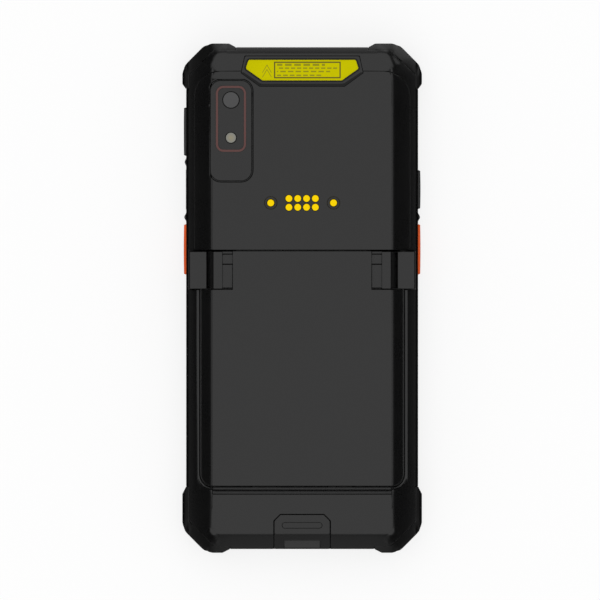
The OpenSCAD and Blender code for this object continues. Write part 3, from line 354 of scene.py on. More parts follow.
def face_heights(x, y, finished):
    """Heights over a point of the back's flat middle, sloped side with its arc, sloped end and the face
    across the corner, as the frame has them or as they are finished."""
    start = np.where(y > 0, HEAD_CORNER_SUM, CORNER_SUM[1]) if finished else CORNER_SUM[0]
    past = (x + np.abs(y)) / math.sqrt(2) - start
    middle = np.interp(y, FLAT_Y, FLAT_Z)
    if finished:
        middle = middle - RIM_BEND[2] * np.clip(1 - np.abs(y - RIM_BEND[0]) / RIM_BEND[1], 0, 1)
    arc_x, arc_z, radius = SIDE_ARC
    arc = arc_z + np.sqrt(np.maximum(radius ** 2 - np.clip(x - arc_x, 0, None) ** 2, 0))
    side = np.where(x > arc_x + radius / math.sqrt(2), arc, SIDE_SUM - x)
    end = np.where(y > 0, HEAD_SUM - y, FOOT_SUM[finished] + y)
    corner = CORNER_Z - past * np.where(past > 0, CORNER_FALL, CORNER_RISE)
    return middle, side, end, corner


def finished_height(x, y, sizes):
    """Height of the finished back over a point, with its faces rounded into each other: the middle into
    the end, the side into the corner, and one pair into the other."""
    middle, side, end, corner = face_heights(x, y, True)
    along = soft_min(middle, end, sizes.end_reach / MM)
    across = soft_min(side, corner, sizes.corner_reach / MM)
    return soft_min(along, across, sizes.shoulder_reach / MM)


def cut_back(shape, every_face):
    """Cuts the upper faces of a bmesh, or every face, into strips along the shoulders and into a grid at
    the corners."""
    root, signs = math.sqrt(0.5), (1, -1)
    turns = [(a, b) for a in signs for b in signs]
    cuts = [((a, 0), place, 0) for place in CUTS_X for a in signs]
    cuts += [((0, b), place, 0) for place in CUTS_Y for b in signs]
    cuts += [((a * root, b * root), place, CUT_FROM[0]) for place in CUTS_DIAGONAL for a, b in turns]
    cuts += [((a * root, -b * root), place * root, CUT_FROM[1]) for place in CUTS_BESIDE for a, b in turns]
    for normal, place, corner in cuts:
        faces = []
        for face in shape.faces:
            centre = face.calc_center_median()
            upper = face.normal.z > UPWARD and centre.z > ROUNDED_FROM * MM
            if (every_face or upper) and abs(centre.x) + abs(centre.y) >= corner * MM / root:
                faces.append(face)
        edges = {e for f in faces for e in f.edges}
        points = {v for e in edges for v in e.verts}
        across_plane = Vector((*normal, 0))
        bmesh.ops.bisect_plane(shape, geom=[*faces, *edges, *points], dist=1e-7,
                               plane_co=across_plane * place * MM, plane_no=across_plane)


def mesh_points(mesh):
    """The points of a mesh in millimetres, one row each."""
    points = np.empty(len(mesh.vertices) * 3)
    mesh.vertices.foreach_get("co", points)
    return points.reshape(-1, 3) / MM


def put_points(mesh, points):
    """Puts points in millimetres back into their mesh."""
    mesh.vertices.foreach_set("co", (points * MM).ravel())
    mesh.update()


def move_corners(points):
    """Moves the cut corners out: a point slides along y near the long side, along x near the end and along
    both between them, so that the straight walls beside the corner stay where they are."""
    move, start, end = CORNER_MOVE
    plan = np.abs(points[:, :2])
    share = np.clip((plan.sum(1) / math.sqrt(2) - start) / (end - start), 0, 1)
    along_y = np.clip((plan[:, 0] - plan[:, 1] - CORNER_ENDS[1]) / (CORNER_ENDS[0] - CORNER_ENDS[1]), 0, 1)
    way = np.stack([1 - along_y, along_y], 1) * np.sign(points[:, :2])
    moved = points.copy()
    moved[:, :2] += (move * math.sqrt(2) * share)[:, None] * way
    return moved


def round_back(mesh, sizes):
    """Moves points from the frame's flat-faced back to the finished one, by less and less below it. What
    stands above the frame's faces keeps its rise, but the ramps beside the latches come down to the
    finished faces, and the bumpers come nearly down to them at the cut corners."""
    points = mesh_points(mesh)
    moved = move_corners(points)
    x, y, z = np.abs(points[:, 0]), points[:, 1], points[:, 2]
    sharp = np.minimum.reduce(face_heights(x, y, False))
    finished = finished_height(np.abs(moved[:, 0]), moved[:, 1], sizes)
    share = np.clip((z - ROUNDED_FROM) / np.maximum(sharp - ROUNDED_FROM, 1.0), 0, 1)
    proud = np.clip(z - sharp, 0, None)
    kept, fade_out, fade_along = CORNER_PROUD
    at_corner = np.clip(((x + np.abs(y)) * math.sqrt(0.5) - CORNER_SUM[0]) / fade_out, 0, 1)
    at_corner *= np.clip((CORNER_ENDS[0] - x + np.abs(y)) / fade_along, 0, 1)
    least_x, least_y, most_y = LATCH_RAMP
    ramp = (proud > NEAR) & (x > least_x) & (y > least_y) & (y < most_y)
    level = z + share * (finished - sharp) - at_corner * (1 - kept) * proud
    moved[:, 2] = np.minimum(np.where(ramp, finished, level), CAD_BOX[1][2] / MM)
    put_points(mesh, moved)


def round_plan(mesh, reach):
    """Rounds the outline of a corner bumper: a point moves inwards, across the corner between two walls,
    by reach / 4 (1 - |difference of its distances to the walls| / reach) squared, and by less and less
    down to no move at all at PLAN_DEPTH behind the walls."""
    points = mesh_points(mesh)
    plan = np.abs(points[:, :2])
    sign = np.sign(points[:, :2])
    walls = np.array([(1, 0), (0, 1), (math.sqrt(0.5), math.sqrt(0.5))])
    distance = (plan @ walls.T).max(0) - plan @ walls.T
    fade = np.clip(1 - distance.min(1) / PLAN_DEPTH, 0, 1)
    for wall in (0, 1):
        share = np.clip(1 - np.abs(distance[:, wall] - distance[:, 2]) / reach, 0, 1)
        inward = -(walls[wall] + walls[2]) / np.linalg.norm(walls[wall] + walls[2])
        points[:, :2] += (share ** 2 * reach / 4 * fade)[:, None] * inward * sign
    put_points(mesh, points)


def merged_copy(node):
    """A bmesh of a frame node with its doubles merged and its flat faces made whole."""
    shape = bmesh.new()
    shape.from_mesh(frame["nodes"][node].data)
    bmesh.ops.remove_doubles(shape, verts=shape.verts, dist=0.001 * MM)
    bmesh.ops.dissolve_limit(shape, angle_limit=math.radians(0.5), verts=shape.verts, edges=shape.edges)
    return shape


def moulded(node, edge, sizes=None, plan_reach=0.0, reshape=None, segments=3):
    """A copy of a frame node with rounded edges, in the node's finish. Where sizes are given, the upper
    faces are rounded into each other instead, and with a plan reach the outline too; reshape changes the
    points first."""
    name = node + "_moulded"
    shape = merged_copy(node)
    if reshape:
        reshape(shape)
    corners = [e for e in shape.edges if e.is_manifold and e.calc_face_angle() > ROUNDED_ANGLE
               and not (sizes and min(f.normal.z for f in e.link_faces) > UPWARD)]
    bmesh.ops.bevel(shape, geom=corners, offset=edge, offset_type="OFFSET", segments=segments, profile=0.5,
                    affect="EDGES", clamp_overlap=False)
    if sizes:
        shape.normal_update()
        cut_back(shape, plan_reach > 0)
    mesh = bpy.data.meshes.new(name)
    shape.to_mesh(mesh)
    shape.free()
    if sizes:
        round_back(mesh, sizes)
    else:
        put_points(mesh, move_corners(np.clip(mesh_points(mesh), *box_mm(node)[:2])))
    if plan_reach:
        round_plan(mesh, plan_reach)
    piece = add_object(name, mesh, finish(slot_of(node)))
    weighted = piece.modifiers.new("Even shading", "WEIGHTED_NORMAL")
    weighted.weight = 90
    return ride_for(piece, node)


def latch_groove(shape):
    """Turns the latch's square groove into a V: the floor's inner line rises to the slope beside it."""
    x, z, raised = GROOVE_LINE
    for point in shape.verts:
        if abs(abs(point.co.x) / MM - x) < NEAR and abs(point.co.z / MM - z) < NEAR:
            point.co.z = raised * MM


# ---- port cover ----

# Places on the cover's long section, as y and z.
COVER_INNER = (-76.0, 15.0)  # corner of the inner face
COVER_BEND = ((-75.2, 16.2), (-78.297, 13.103))  # start and end of the 45 degree bend
COVER_ARC = (-76.6, 11.406, 2.4)  # centre and radius of the arc below it
NOTCH = (-76.25, 15.15, 12.9, -78.6)  # y and z where the finger notch starts, z of its floor and y of its end
NOTCH_HALF = 5.65  # half width of the notch
RIDGE = (-71.5, 5.4, 0.9, 0.3)  # y, half length, half width and height of the finger ridge


def line(start, end, shares):
    """Points on a straight line at the given shares of its length."""
    start, end = np.asarray(start, float), np.asarray(end, float)
    return start + np.asarray(shares, float)[:, None] * (end - start)


def cover_sections(low, high, edge):
    """Long sections of the port cover as (y, z): outer face, face in the finger notch and inner face,
    row by row. The outer face runs flat, down the 45 degree bend, round its arc and down the foot."""
    ends = np.array([0, 0.06, 0.2, 0.45, 0.75, 1.0]) * edge
    top = high[1] - np.concatenate([ends, np.linspace(0.45, 2.0, 9), np.arange(2.1, 5.0, 0.1),
                                 np.linspace(5.2, 6.9, 14)])
    flat = np.stack([top, np.interp(top, FLAT_Y, FLAT_Z)], -1)
    bend_y = COVER_BEND[0][0]
    notch_start = (bend_y - NOTCH[0]) / (bend_y - COVER_BEND[1][0])
    slope = line(*COVER_BEND, np.concatenate([np.linspace(0, notch_start, 5)[:-1],
                                              notch_start + (1 - notch_start) * np.linspace(0, 1, 12)]))
    angle = np.radians(np.concatenate([np.linspace(41, 19.33, 7), np.linspace(14, 0, 4)]))
    arc_y, arc_z, radius = COVER_ARC
    arc = np.stack([arc_y - radius * np.cos(angle), arc_z + radius * np.sin(angle)], -1)
    foot = line(arc[-1], (arc[-1][0], low[2] + edge), np.linspace(0, 1, 8)[1:])
    foot_end = np.stack([np.full(6, arc[-1][0]), low[2] + ends[::-1]], -1)[1:]
    outer = np.concatenate([flat, slope, arc, foot, foot_end])

    inner_y, inner_z = COVER_INNER
    inner = np.stack([np.maximum(outer[:, 0], inner_y), np.minimum(outer[:, 1], inner_z)], -1)
    share, turns = np.linspace(0, 1, len(slope)), (0, 0.3, 1)
    down = slice(len(flat), len(flat) + len(slope))
    inner[down, 0] = np.interp(share, turns, (bend_y, inner_y, inner_y))
    inner[down, 1] = np.interp(share, turns, (inner_z, inner_z, 13.1))
    inner[:len(flat), 1] = inner_z

    notch = outer.copy()
    first, last = len(flat) + 4, len(flat) + len(slope) + 7
    share, turns = np.linspace(0, 1, last - first), (0, 0.03, 0.5, 0.53, 1)
    start_y, start_z, floor_z, end_y = NOTCH
    notch_y = (start_y, start_y - 0.05, start_y - 0.05, start_y - 0.15, end_y)
    notch_z = (start_z, start_z - 0.1, floor_z + 0.1, floor_z, floor_z)
    notch[first:last] = np.stack([np.interp(share, turns, notch_y), np.interp(share, turns, notch_z)], -1)
    along = np.concatenate([ends, np.full(len(outer) - 2 * len(ends), edge), ends[::-1]])
    sunk = edge - np.sqrt(np.maximum(edge ** 2 - (edge - np.minimum(along, edge)) ** 2, 0))
    return outer, notch, inner, sunk


def port_cover_rings(sizes):
    """Closed rings round the port cover, one for each row of its long sections: outer face from left to
    right, quarter circle, side, inner face from right to left, side, quarter circle. The head corners
    are cut: half width = the softer minimum of full and full - (corner - distance from the head)."""
    low, high, *_ = box_mm("usb_cover")
    high = np.maximum(high, box_mm("usb_cover_anchor")[1])
    edge, corner = sizes.cover_edge / MM, sizes.cover_corner / MM
    outer, notch, inner, sunk = cover_sections(low, high, edge)
    gone = np.maximum(corner - (high[1] - outer[:, 0]), -1.0)
    half = soft_min(high[0] - gone, high[0], 0.4)

    dense = np.concatenate([np.arange(0, 5.2, 0.65), np.arange(5.3, 6.6, 0.09), np.arange(6.9, 8.5, 0.4)])
    column = np.concatenate([-dense[:0:-1], dense])
    x = np.clip(column[None, :], -(half - edge)[:, None], (half - edge)[:, None])
    in_notch = np.clip((NOTCH_HALF + 0.09 - np.abs(x)) / 0.18, 0, 1)[..., None]
    face = outer[:, None] + in_notch * (notch - outer)[:, None]
    inward = inner - outer
    depth = np.linalg.norm(inward, axis=1)[:, None]
    inward = inward / depth
    ridge_y, half_length, half_width, height = RIDGE
    beyond = np.hypot(np.maximum(np.abs(x) - half_length, 0), outer[:, None, 0] - ridge_y) - half_width
    rise = height * np.clip((0.1 - beyond) / 0.2, 0, 1)
    face = face + (sunk[:, None] - rise)[..., None] * inward[:, None]
    outer_face = np.concatenate([x[..., None], face], -1)

    angle = np.linspace(0, np.pi / 2, 5)
    turn_x = (half - edge)[:, None] + edge * np.sin(angle)
    turn_depth = np.maximum(edge * (1 - np.cos(angle)), sunk[:, None])
    turn = outer[:, None] + turn_depth[..., None] * inward[:, None]
    right = np.concatenate([turn_x[..., None], turn], -1)
    left = np.concatenate([-turn_x[:, ::-1, None], turn[:, ::-1]], -1)
    under_x = half[:, None] * np.linspace(1, -1, 7)
    under = np.concatenate([under_x[..., None], np.broadcast_to(inner[:, None], under_x.shape + (2,))], -1)
    return np.concatenate([outer_face, right[:, 1:], under, left[:, :-1]], 1)


# ---- materials ----


def maths(operation, swapped=False):
    """A method of Wire that adds the Math node of an operation."""

    def method(self, *others):
        terms = (*others, self) if swapped else (self, *others)
        return self.wiring.node("ShaderNodeMath", {"operation": operation}, dict(enumerate(terms)))

    return method


class Wire:
    """A shader socket in a sum: each operator adds the Math node that works it out."""

    def __init__(self, wiring, socket):
        self.wiring = wiring
        self.socket = socket

    __add__ = __radd__ = maths("ADD")
    __sub__ = maths("SUBTRACT")
    __rsub__ = maths("SUBTRACT", swapped=True)
    __mul__ = __rmul__ = maths("MULTIPLY")
    __mod__ = maths("FLOORED_MODULO")
    __pow__ = maths("POWER")
    __or__ = maths("MAXIMUM")
    __abs__ = maths("ABSOLUTE")


class Wiring:
    """The node tree of a material or a world that is being wired up."""

    def __init__(self, owner):
        self.owner = owner
        owner.use_nodes = True
        self.tree = owner.node_tree
        self.tree.nodes.clear()

    def node(self, kind, settings=None, inputs=None, output=0):
        """Adds a node: settings first, then a value or a wire for each of the named or numbered sockets."""
        made = self.tree.nodes.new(kind)
        for key, value in (settings or {}).items():
            setattr(made, key, value)
        for key, value in (inputs or {}).items():
            self.feed(made.inputs[key], value)
        return Wire(self, made.outputs[output] if made.outputs else None)

    def feed(self, socket, value):
        """Links a wire to a socket, or sets the socket's own value."""
        if isinstance(value, Wire):
            self.tree.links.new(value.socket, socket)
        else:
            socket.default_value = value

    def seen(self):
        """1 for rays from the camera, and for those that gloss or glass sends on."""
        path = {name: self.node("ShaderNodeLightPath", output=name)
                for name in ("Is Camera Ray", "Is Glossy Ray", "Is Transmission Ray")}
        return path["Is Camera Ray"] | path["Is Glossy Ray"] | path["Is Transmission Ray"]

    def place(self, scale=(1, 1, 1)):
        """Object coordinates, stretched by scale."""
        spot = self.node("ShaderNodeTexCoord", output="Object")
        return self.node("ShaderNodeVectorMath", {"operation": "MULTIPLY"}, {0: spot, 1: scale})

    def axis(self, index):
        """One Object coordinate in millimetres."""
        return self.node("ShaderNodeSeparateXYZ", inputs={0: self.place((1000, 1000, 1000))}, output=index)

    def noise(self, grain_mm, detail=2.0, scale=(1, 1, 1)):
        """Noise between 0 and 1 whose lumps are grain_mm apart."""
        return self.node("ShaderNodeTexNoise", inputs={
            "Vector": self.place(scale), "Scale": 1 / (grain_mm * MM), "Detail": detail, "Roughness": 0.55})

    def step(self, wire, edge, soft):
        """0 below the edge and 1 above it, with a soft change."""
        sockets = {0: wire, 1: edge - soft, 2: edge + soft, 3: 0.0, 4: 1.0}
        return self.node("ShaderNodeMapRange", inputs=sockets)

    def band(self, wire, low, high, soft):
        """1 between low and high, and 0 outside."""
        return self.step(wire, low, soft) * (1 - self.step(wire, high, soft))

    def mix(self, share, first, second):
        """First colour where share is 0 and second where it is 1."""
        sockets = {0: share, 6: rgba(first), 7: rgba(second)}
        return self.node("ShaderNodeMix", {"data_type": "RGBA"}, sockets, output=2)

    def bump(self, height, depth_mm):
        """Normal of a surface raised by height times depth_mm."""
        return self.node("ShaderNodeBump", inputs={
            "Height": height, "Distance": depth_mm * MM, "Strength": 1.0})

    def surface(self, shader, output="ShaderNodeOutputMaterial"):
        """Puts a shader on the owner's surface, and gives the owner."""
        self.node(output, inputs={"Surface": shader})
        return self.owner


class Finish(Wiring):
    """A material with one Principled shader."""

    def __init__(self, name, **shader):
        super().__init__(bpy.data.materials.new(name))
        surface = self.node("ShaderNodeBsdfPrincipled")
        self.shader = surface.socket.node
        self.surface(surface)
        self.set(**shader)

    def set(self, **shader):
        """Sets sockets of the shader, named with underscores, and gives the material."""
        for key, value in shader.items():
            name = " ".join(w.upper() if w == "ior" else w.capitalize() for w in key.split("_"))
            self.feed(self.shader.inputs[name], value)
        return self.owner


def rgba(colour):
    """A colour as four numbers; a wire stays as it is."""
    return colour if isinstance(colour, Wire) else (*tuple(colour)[:3], 1.0)


def tint(colour, factor):
    """A colour made darker or lighter."""
    return tuple(min(1.0, c * factor) for c in tuple(colour)[:3])


def spark_eroded(name, colour, roughness, grain_mm=0.22, depth_mm=0.012, **shader):
    """Moulded plastic with the fine even grain of a spark-eroded mould and faint clouding."""
    f = Finish(name, **shader)
    grain = f.noise(grain_mm, 3.0)
    cloud = f.noise(14.0, 3.0)
    return f.set(
        base_color=f.mix(cloud, tint(colour, 0.8), tint(colour, 1.2)),
        roughness=roughness + (cloud - 0.5) * 0.08 + (grain - 0.5) * 0.06,
        normal=f.bump(grain, depth_mm),
    )


def plain_finish(name, colour, roughness, metallic=0.0, grain_mm=0.3, depth_mm=0.004, **shader):
    """A smooth finish with light clouding, for metals, ceramics and small inner parts."""
    f = Finish(name, metallic=metallic, **shader)
    cloud = f.noise(grain_mm * 20, 2.0)
    grain = f.noise(grain_mm, 2.0)
    return f.set(
        base_color=f.mix(cloud, tint(colour, 0.9), tint(colour, 1.1)),
        roughness=roughness + (cloud - 0.5) * 0.1,
        normal=f.bump(grain, depth_mm),
    )


def label_finish(colours):
    """Yellow label with generic print: a thin frame, rows of plain dashes and an upward chevron."""
    f = Finish("Label yellow", specular_ior_level=0.02)
    x, y = f.axis(0), f.axis(1)
    line_w, left, right, bottom, top, soft, paler = 0.4, -8.86, 12.15, 69.2, 74.45, 0.05, 0.62
    outer = f.band(x, left, right, soft) * f.band(y, bottom, top, soft)
    inner = (f.band(x, left + line_w, right - line_w, soft)
             * f.band(y, bottom + line_w, top - line_w, soft))
    marks = outer * (1 - inner)
    for row_y, height, pitch, start, end in (
            (73.45, 0.7, 2.9, -7.9, 7.2), (72.4, 0.45, 1.9, -7.9, 11.0), (71.35, 0.45, 2.4, -7.9, 8.8),
            (70.15, 0.45, 2.1, -7.9, 6.4)):
        gap = f.step(abs((x + pitch * 40) % pitch - pitch / 2), pitch * 0.36, soft)
        marks = marks + (f.band(y, row_y - height / 2, row_y + height / 2, soft)
                         * f.band(x, start, end, soft) * (1 - gap) * paler)
    chevron_y = y + abs(x + 11.07) * 1.7
    for tip in (73.6, 72.2):
        marks = marks + f.band(chevron_y, tip - 0.42, tip, 0.06) * f.band(x, -12.5, -9.65, soft) * paler
    cloud = f.noise(3.0, 2.0)
    paper = f.mix(cloud, tint(colours.label, 0.97), tint(colours.label, 1.03))
    return f.set(
        base_color=f.mix(marks, paper, colours.label_print),
        roughness=0.55 + (cloud - 0.5) * 0.1,
        normal=f.bump(f.noise(0.15), 0.002),
    )


def display_finish():
    """Cover glass seen from outside: black border ink, the slightly paler screen inside it and the ring round
    the front camera."""
    f = Finish("Cover glass", coat_weight=1.0, coat_roughness=0.02)
    low, high, *_ = box_mm("display_module")
    x, y, border = f.axis(0), f.axis(1), 1.2
    screen = (f.band(x, low[0] + border, high[0] - border, 0.1)
              * f.band(y, low[1] + border, high[1] - border, 0.1))
    eye_x, eye_y = x - 20.0, y - 69.5
    eye = (eye_x * eye_x + eye_y * eye_y) ** 0.5
    smear = f.noise(22.0, 3.0)
    ink = f.mix(f.band(eye, 1.55, 1.95, 0.05), (0.0022, 0.0022, 0.0025), (0.012, 0.012, 0.014))
    return f.set(
        base_color=f.mix(screen, ink, (0.006, 0.0065, 0.008)),
        roughness=0.05 + smear * 0.05,
    )


def gold_finish(colours):
    """Plated contact faces with faint clouding in their polish."""
    f = Finish("Contact gold", metallic=1.0)
    cloud = f.noise(0.5, 2.0)
    return f.set(
        base_color=f.mix(cloud, tint(colours.gold, 0.94), colours.gold),
        roughness=0.3 + (cloud - 0.5) * 0.12,
        normal=f.bump(f.noise(0.12), 0.002),
    )


def board_finish():
    """Green solder mask with faint tracks and pads."""
    f = Finish("Board green", coat_weight=0.4, coat_roughness=0.2)
    x, y = f.axis(0), f.axis(1)
    wave = f.noise(6.0, 0.0)
    tracks = f.band((x + wave * 6.0) % 1.2, 0.3, 0.75, 0.08) * f.step(f.noise(5.0, 0.0), 0.55, 0.03)
    pads = f.band(x % 2.6, 0.6, 1.6, 0.05) * f.band(y % 3.4, 0.7, 1.9, 0.05)
    pads = pads * f.step(f.noise(9.0, 0.0), 0.58, 0.02)
    mask = f.mix(tracks, (0.008, 0.09, 0.035), (0.02, 0.16, 0.06))
    return f.set(
        base_color=f.mix(pads, mask, (0.55, 0.5, 0.4)),
        metallic=pads * 0.8,
        roughness=0.4 - pads * 0.1,
        normal=f.bump(tracks + pads, 0.03),
    )


def flash_finish():
    """Fresnel lens over a warm phosphor: fine rings round its own middle."""
    f = Finish("Flash lens")
    middle = box_mm("flash_lens")[3]
    x, y = f.axis(0) - float(middle[0]), f.axis(1) - float(middle[1])
    radius = (x * x + y * y) ** 0.5
    rings = abs(radius % 0.3 - 0.15)
    return f.set(
        base_color=f.mix(f.step(radius, 0.9, 0.6), (0.25, 0.225, 0.15), (0.2, 0.2, 0.178)),
        roughness=0.3 + rings * 0.6,
        normal=f.bump(rings, 0.1),
    )


def mesh_finish():
    """Steel gauze: a square grid of round wires over dark gaps."""
    f = Finish("Gauze steel", metallic=1.0)
    x, y = f.axis(0), f.axis(1)
    wires = abs((x + y) % 0.28 - 0.14) | abs((x - y) % 0.28 - 0.14)
    share = f.step(wires, 0.075, 0.03)
    return f.set(
        base_color=f.mix(share, (0.01, 0.01, 0.01), (0.4, 0.4, 0.41)),
        roughness=0.4 + (1 - share) * 0.4,
        normal=f.bump(wires, 0.1),
    )


def foil_finish():
    """Wrapped foil of the battery cell: brushed along its length, with faint folds."""
    f = Finish("Cell foil", metallic=1.0)
    brushed = f.noise(0.4, 2.0, (1, 0.04, 1))
    folds = f.noise(9.0, 2.0)
    return f.set(
        base_color=f.mix(folds, (0.5, 0.51, 0.52), (0.64, 0.65, 0.66)),
        roughness=0.3 + brushed * 0.16,
        normal=f.bump(brushed * 0.1 + folds, 0.12),
    )


def make_finishes(scene):
    """Every finish of the terminal, by the record's slot name."""
    c = scene.terminal_colours
    return {
        "housing_black": spark_eroded("Housing black", c.shell, 0.28),
        "rubber_black": spark_eroded("Rubber black", c.rubber, 0.32, grain_mm=0.3, depth_mm=0.01),
        # Low gloss keeps this finish dark: the label's seal rings use it as painted shade along the grooves
        "seal_black": spark_eroded("Seal black", c.rubber, 0.4, specular_ior_level=0.22),
        "foam_black": spark_eroded("Foam black", (0.01, 0.01, 0.01), 0.85, grain_mm=0.4, depth_mm=0.08),
        "cover_glass": display_finish(),
        "display": plain_finish("Display back", (0.55, 0.56, 0.58), 0.35, 0.9),
        "chassis_metal": plain_finish("Chassis cast metal", (0.42, 0.43, 0.45), 0.45, 1.0, 0.5, 0.03),
        "label_yellow": label_finish(c),
        "scan_window_red": plain_finish("Scan window red", c.window, 0.08, depth_mm=0.0005, coat_weight=1.0,
                                        coat_roughness=0.03),
        "engine_black": spark_eroded("Engine black", (0.012, 0.012, 0.013), 0.5),
        "trim_red": plain_finish("Trim red", c.trim, 0.35, depth_mm=0.001),
        "lens_glass": plain_finish("Lens glass", (0.043, 0.043, 0.044), 0.1, depth_mm=0.0005),
        "flash_lens": flash_finish(),
        "board_green": board_finish(),
        "film_amber": plain_finish("Film amber", (0.36, 0.12, 0.01), 0.3, coat_weight=0.5),
        "gold": gold_finish(c),
        "connector_ivory": plain_finish("Connector ivory", (0.6, 0.56, 0.44), 0.5),
        "steel": plain_finish("Steel", (0.5, 0.51, 0.52), 0.3, 1.0),
        "cell_foil": foil_finish(),
        "key_black": spark_eroded("Key black", c.rubber, 0.4, grain_mm=0.25),
        "key_orange": spark_eroded("Key orange", c.scan_key, 0.5, grain_mm=0.25, depth_mm=0.01,
                                   specular_ior_level=0.2),
    }


FINISHES = {}


def finish(slot):
    """The material for a slot; all of them are made when the first is asked for."""
    if not FINISHES:
        FINISHES.update(make_finishes(bpy.context.scene))
    return FINISHES[slot]


# ---- operators ----


class TerminalOperator(bpy.types.Operator):
    """Options shared by the terminal's operators"""

    bl_options = {"REGISTER", "UNDO"}


class TERMINAL_OT_shells(TerminalOperator):
    """Hard shells: front frame, rear housing, upper cover, battery pack, key blank and camera plate"""

    bl_idname = "terminal.shells"
    bl_label = "Housing"

    def execute(self, context):
        sizes = context.scene.terminal_sizes
        for node in ("rear_housing", "upper_cover", "pack_cover"):
            moulded(node, sizes.shell_edge, sizes)
        for node in ("front_frame", "pack_case"):
            moulded(node, sizes.shell_edge)
        moulded("key_blank", sizes.trim_edge)
        moulded("camera_plate", sizes.plate_edge, segments=1)
        return {"FINISHED"}


class TERMINAL_OT_bumpers(TerminalOperator):
    """Rubber corner bumpers"""

    bl_idname = "terminal.bumpers"
    bl_label = "Bumpers"

    def execute(self, context):
        sizes = context.scene.terminal_sizes
        for corner in ("top_left", "top_right", "bottom_left", "bottom_right"):
            moulded("bumper_" + corner, sizes.bumper_edge, sizes, sizes.plan_reach / MM)
        return {"FINISHED"}


class TERMINAL_OT_latches(TerminalOperator):
    """Squeeze latches of the battery pack"""

    bl_idname = "terminal.latches"
    bl_label = "Latches"

    def execute(self, context):
        for side in ("left", "right"):
            moulded("latch_" + side, context.scene.terminal_sizes.latch_edge, reshape=latch_groove)
        return {"FINISHED"}


class TERMINAL_OT_port_cover(TerminalOperator):
    """Rubber port cover with its plug and its fixed head end"""

    bl_idname = "terminal.port_cover"
    bl_label = "Port cover"

    def execute(self, context):
        sizes = context.scene.terminal_sizes
        rubber = finish(slot_of("usb_cover"))
        cover = add_piece("port_cover", [port_cover_rings(sizes)], rubber, sharp=38.0)
        round_back(cover.data, sizes)
        stand_for(cover, "usb_cover", "usb_cover_anchor")
        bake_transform(cover)

        outline, outward = rounded_outline(rectangle(6.6, 2.2), 0.5)
        profile = [(0, 0, 1), (0, 0.7, 1), (-0.1, 1.0, 0.93), (-0.25, 1.2, 0.86)]
        rings = placed(carried(outline, outward, profile), (0, -76.1, 8.5), *STANDING)
        plug = add_piece("port_cover_plug", [rings], rubber)
        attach(plug, body_of("usb_cover"))
        return {"FINISHED"}


class TERMINAL_OT_side_keys(TerminalOperator):
    """Volume, power and scan keys"""

    bl_idname = "terminal.side_keys"
    bl_label = "Side keys"

    def execute(self, context):
        crown = context.scene.terminal_sizes.key_crown / MM
        for node in ("volume_key", "power_key", "scan_key_left", "scan_key_right"):
            waist = 0.16 if node == "volume_key" else 0.0
            add_stand_in(node + "_cap", side_key_rings(node, crown, waist), node)
        return {"FINISHED"}


def side_key_rings(node, crown, waist):
    """Key cap and its inner flange: profiles carried round rounded rectangles, with a pillow top and,
    where waist is given, a dip of waist times a bell curve along the middle of the key."""
    low, high, size, middle = box_mm(node)
    side = 1.0 if high[0] > 0 else -1.0
    root = min(abs(float(low[0])), abs(float(high[0])))
    over_y, over_z, flange, edge, slant, small, bell = 0.8, 0.25, 0.6, 0.2, 0.22, 0.05, 2.2
    wall, top = 36.5 - root, 37.22 - root
    outline, outward = rounded_outline(rectangle(size[1] - 2 * over_y, size[2] - 2 * over_z), 0.8, 6)
    over = [(offset - slant, height, share) for offset, height, share in round_edge(edge, top)]
    cap = carried(outline, outward, [(0, flange, 1), (0, wall, 1), *over, *dome(edge + slant, top, crown)])
    cap[..., 2] -= waist * np.exp(-(cap[..., 0] / bell) ** 2) * (cap[..., 2] > top - edge / 2)
    plate, plate_out = rounded_outline(rectangle(size[1], size[2]), 0.3, 4)
    back = carried(plate, plate_out, [(-small, 0, 1), (0, small, 1), (0, flange - small, 1),
                                      (-small, flange, 1)])
    place = ((side * root, middle[1], middle[2]), (0, side, 0), (0, 0, 1), (side, 0, 0))
    return [placed(cap, *place), placed(back, *place)]


def corner_points(node, height):
    """Corners of a frame node's faces at a height, counter-clockwise in plan from straight down."""
    points = np.array([v.co for v in frame["nodes"][node].data.vertices]) / MM
    corners = np.unique(np.round(points[np.abs(points[:, 2] - height) < 0.01, :2], 3), axis=0)
    turned = corners - corners.mean(0)
    return corners[np.argsort((np.arctan2(turned[:, 1], turned[:, 0]) + np.pi / 2) % (2 * np.pi))]


class TERMINAL_OT_label(TerminalOperator):
    """Yellow label and the sloped bezel round it"""

    bl_idname = "terminal.label"
    bl_label = "Label"

    def execute(self, context):
        radius = context.scene.terminal_sizes.label_corner / MM
        low, high, *_ = box_mm("label_plate")
        outline, outward = rounded_outline(corner_points("label_plate", high[2]), radius)
        rings = carried(outline, outward, [(0.08, low[2] + 0.02, 1), *round_edge(0.06, low[2] + 0.1, 4)])
        add_stand_in("label", [rings], "label_plate")
        bezel, shade_seals = bezel_rings(outline, outward, low[2], radius)
        closed = {"sharp": 24.0, "closed_rows": True}
        add_stand_in("label_bezel_moulded", bezel, "label_bezel", **closed)
        # The seal rings are dark strips that paint the shade lines in the grooves round the label and the
        # bezel
        seal = add_piece("label_shade_seal", shade_seals, finish("seal_black"), **closed)
        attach(seal, body_of("label_bezel"))
        return {"FINISHED"}


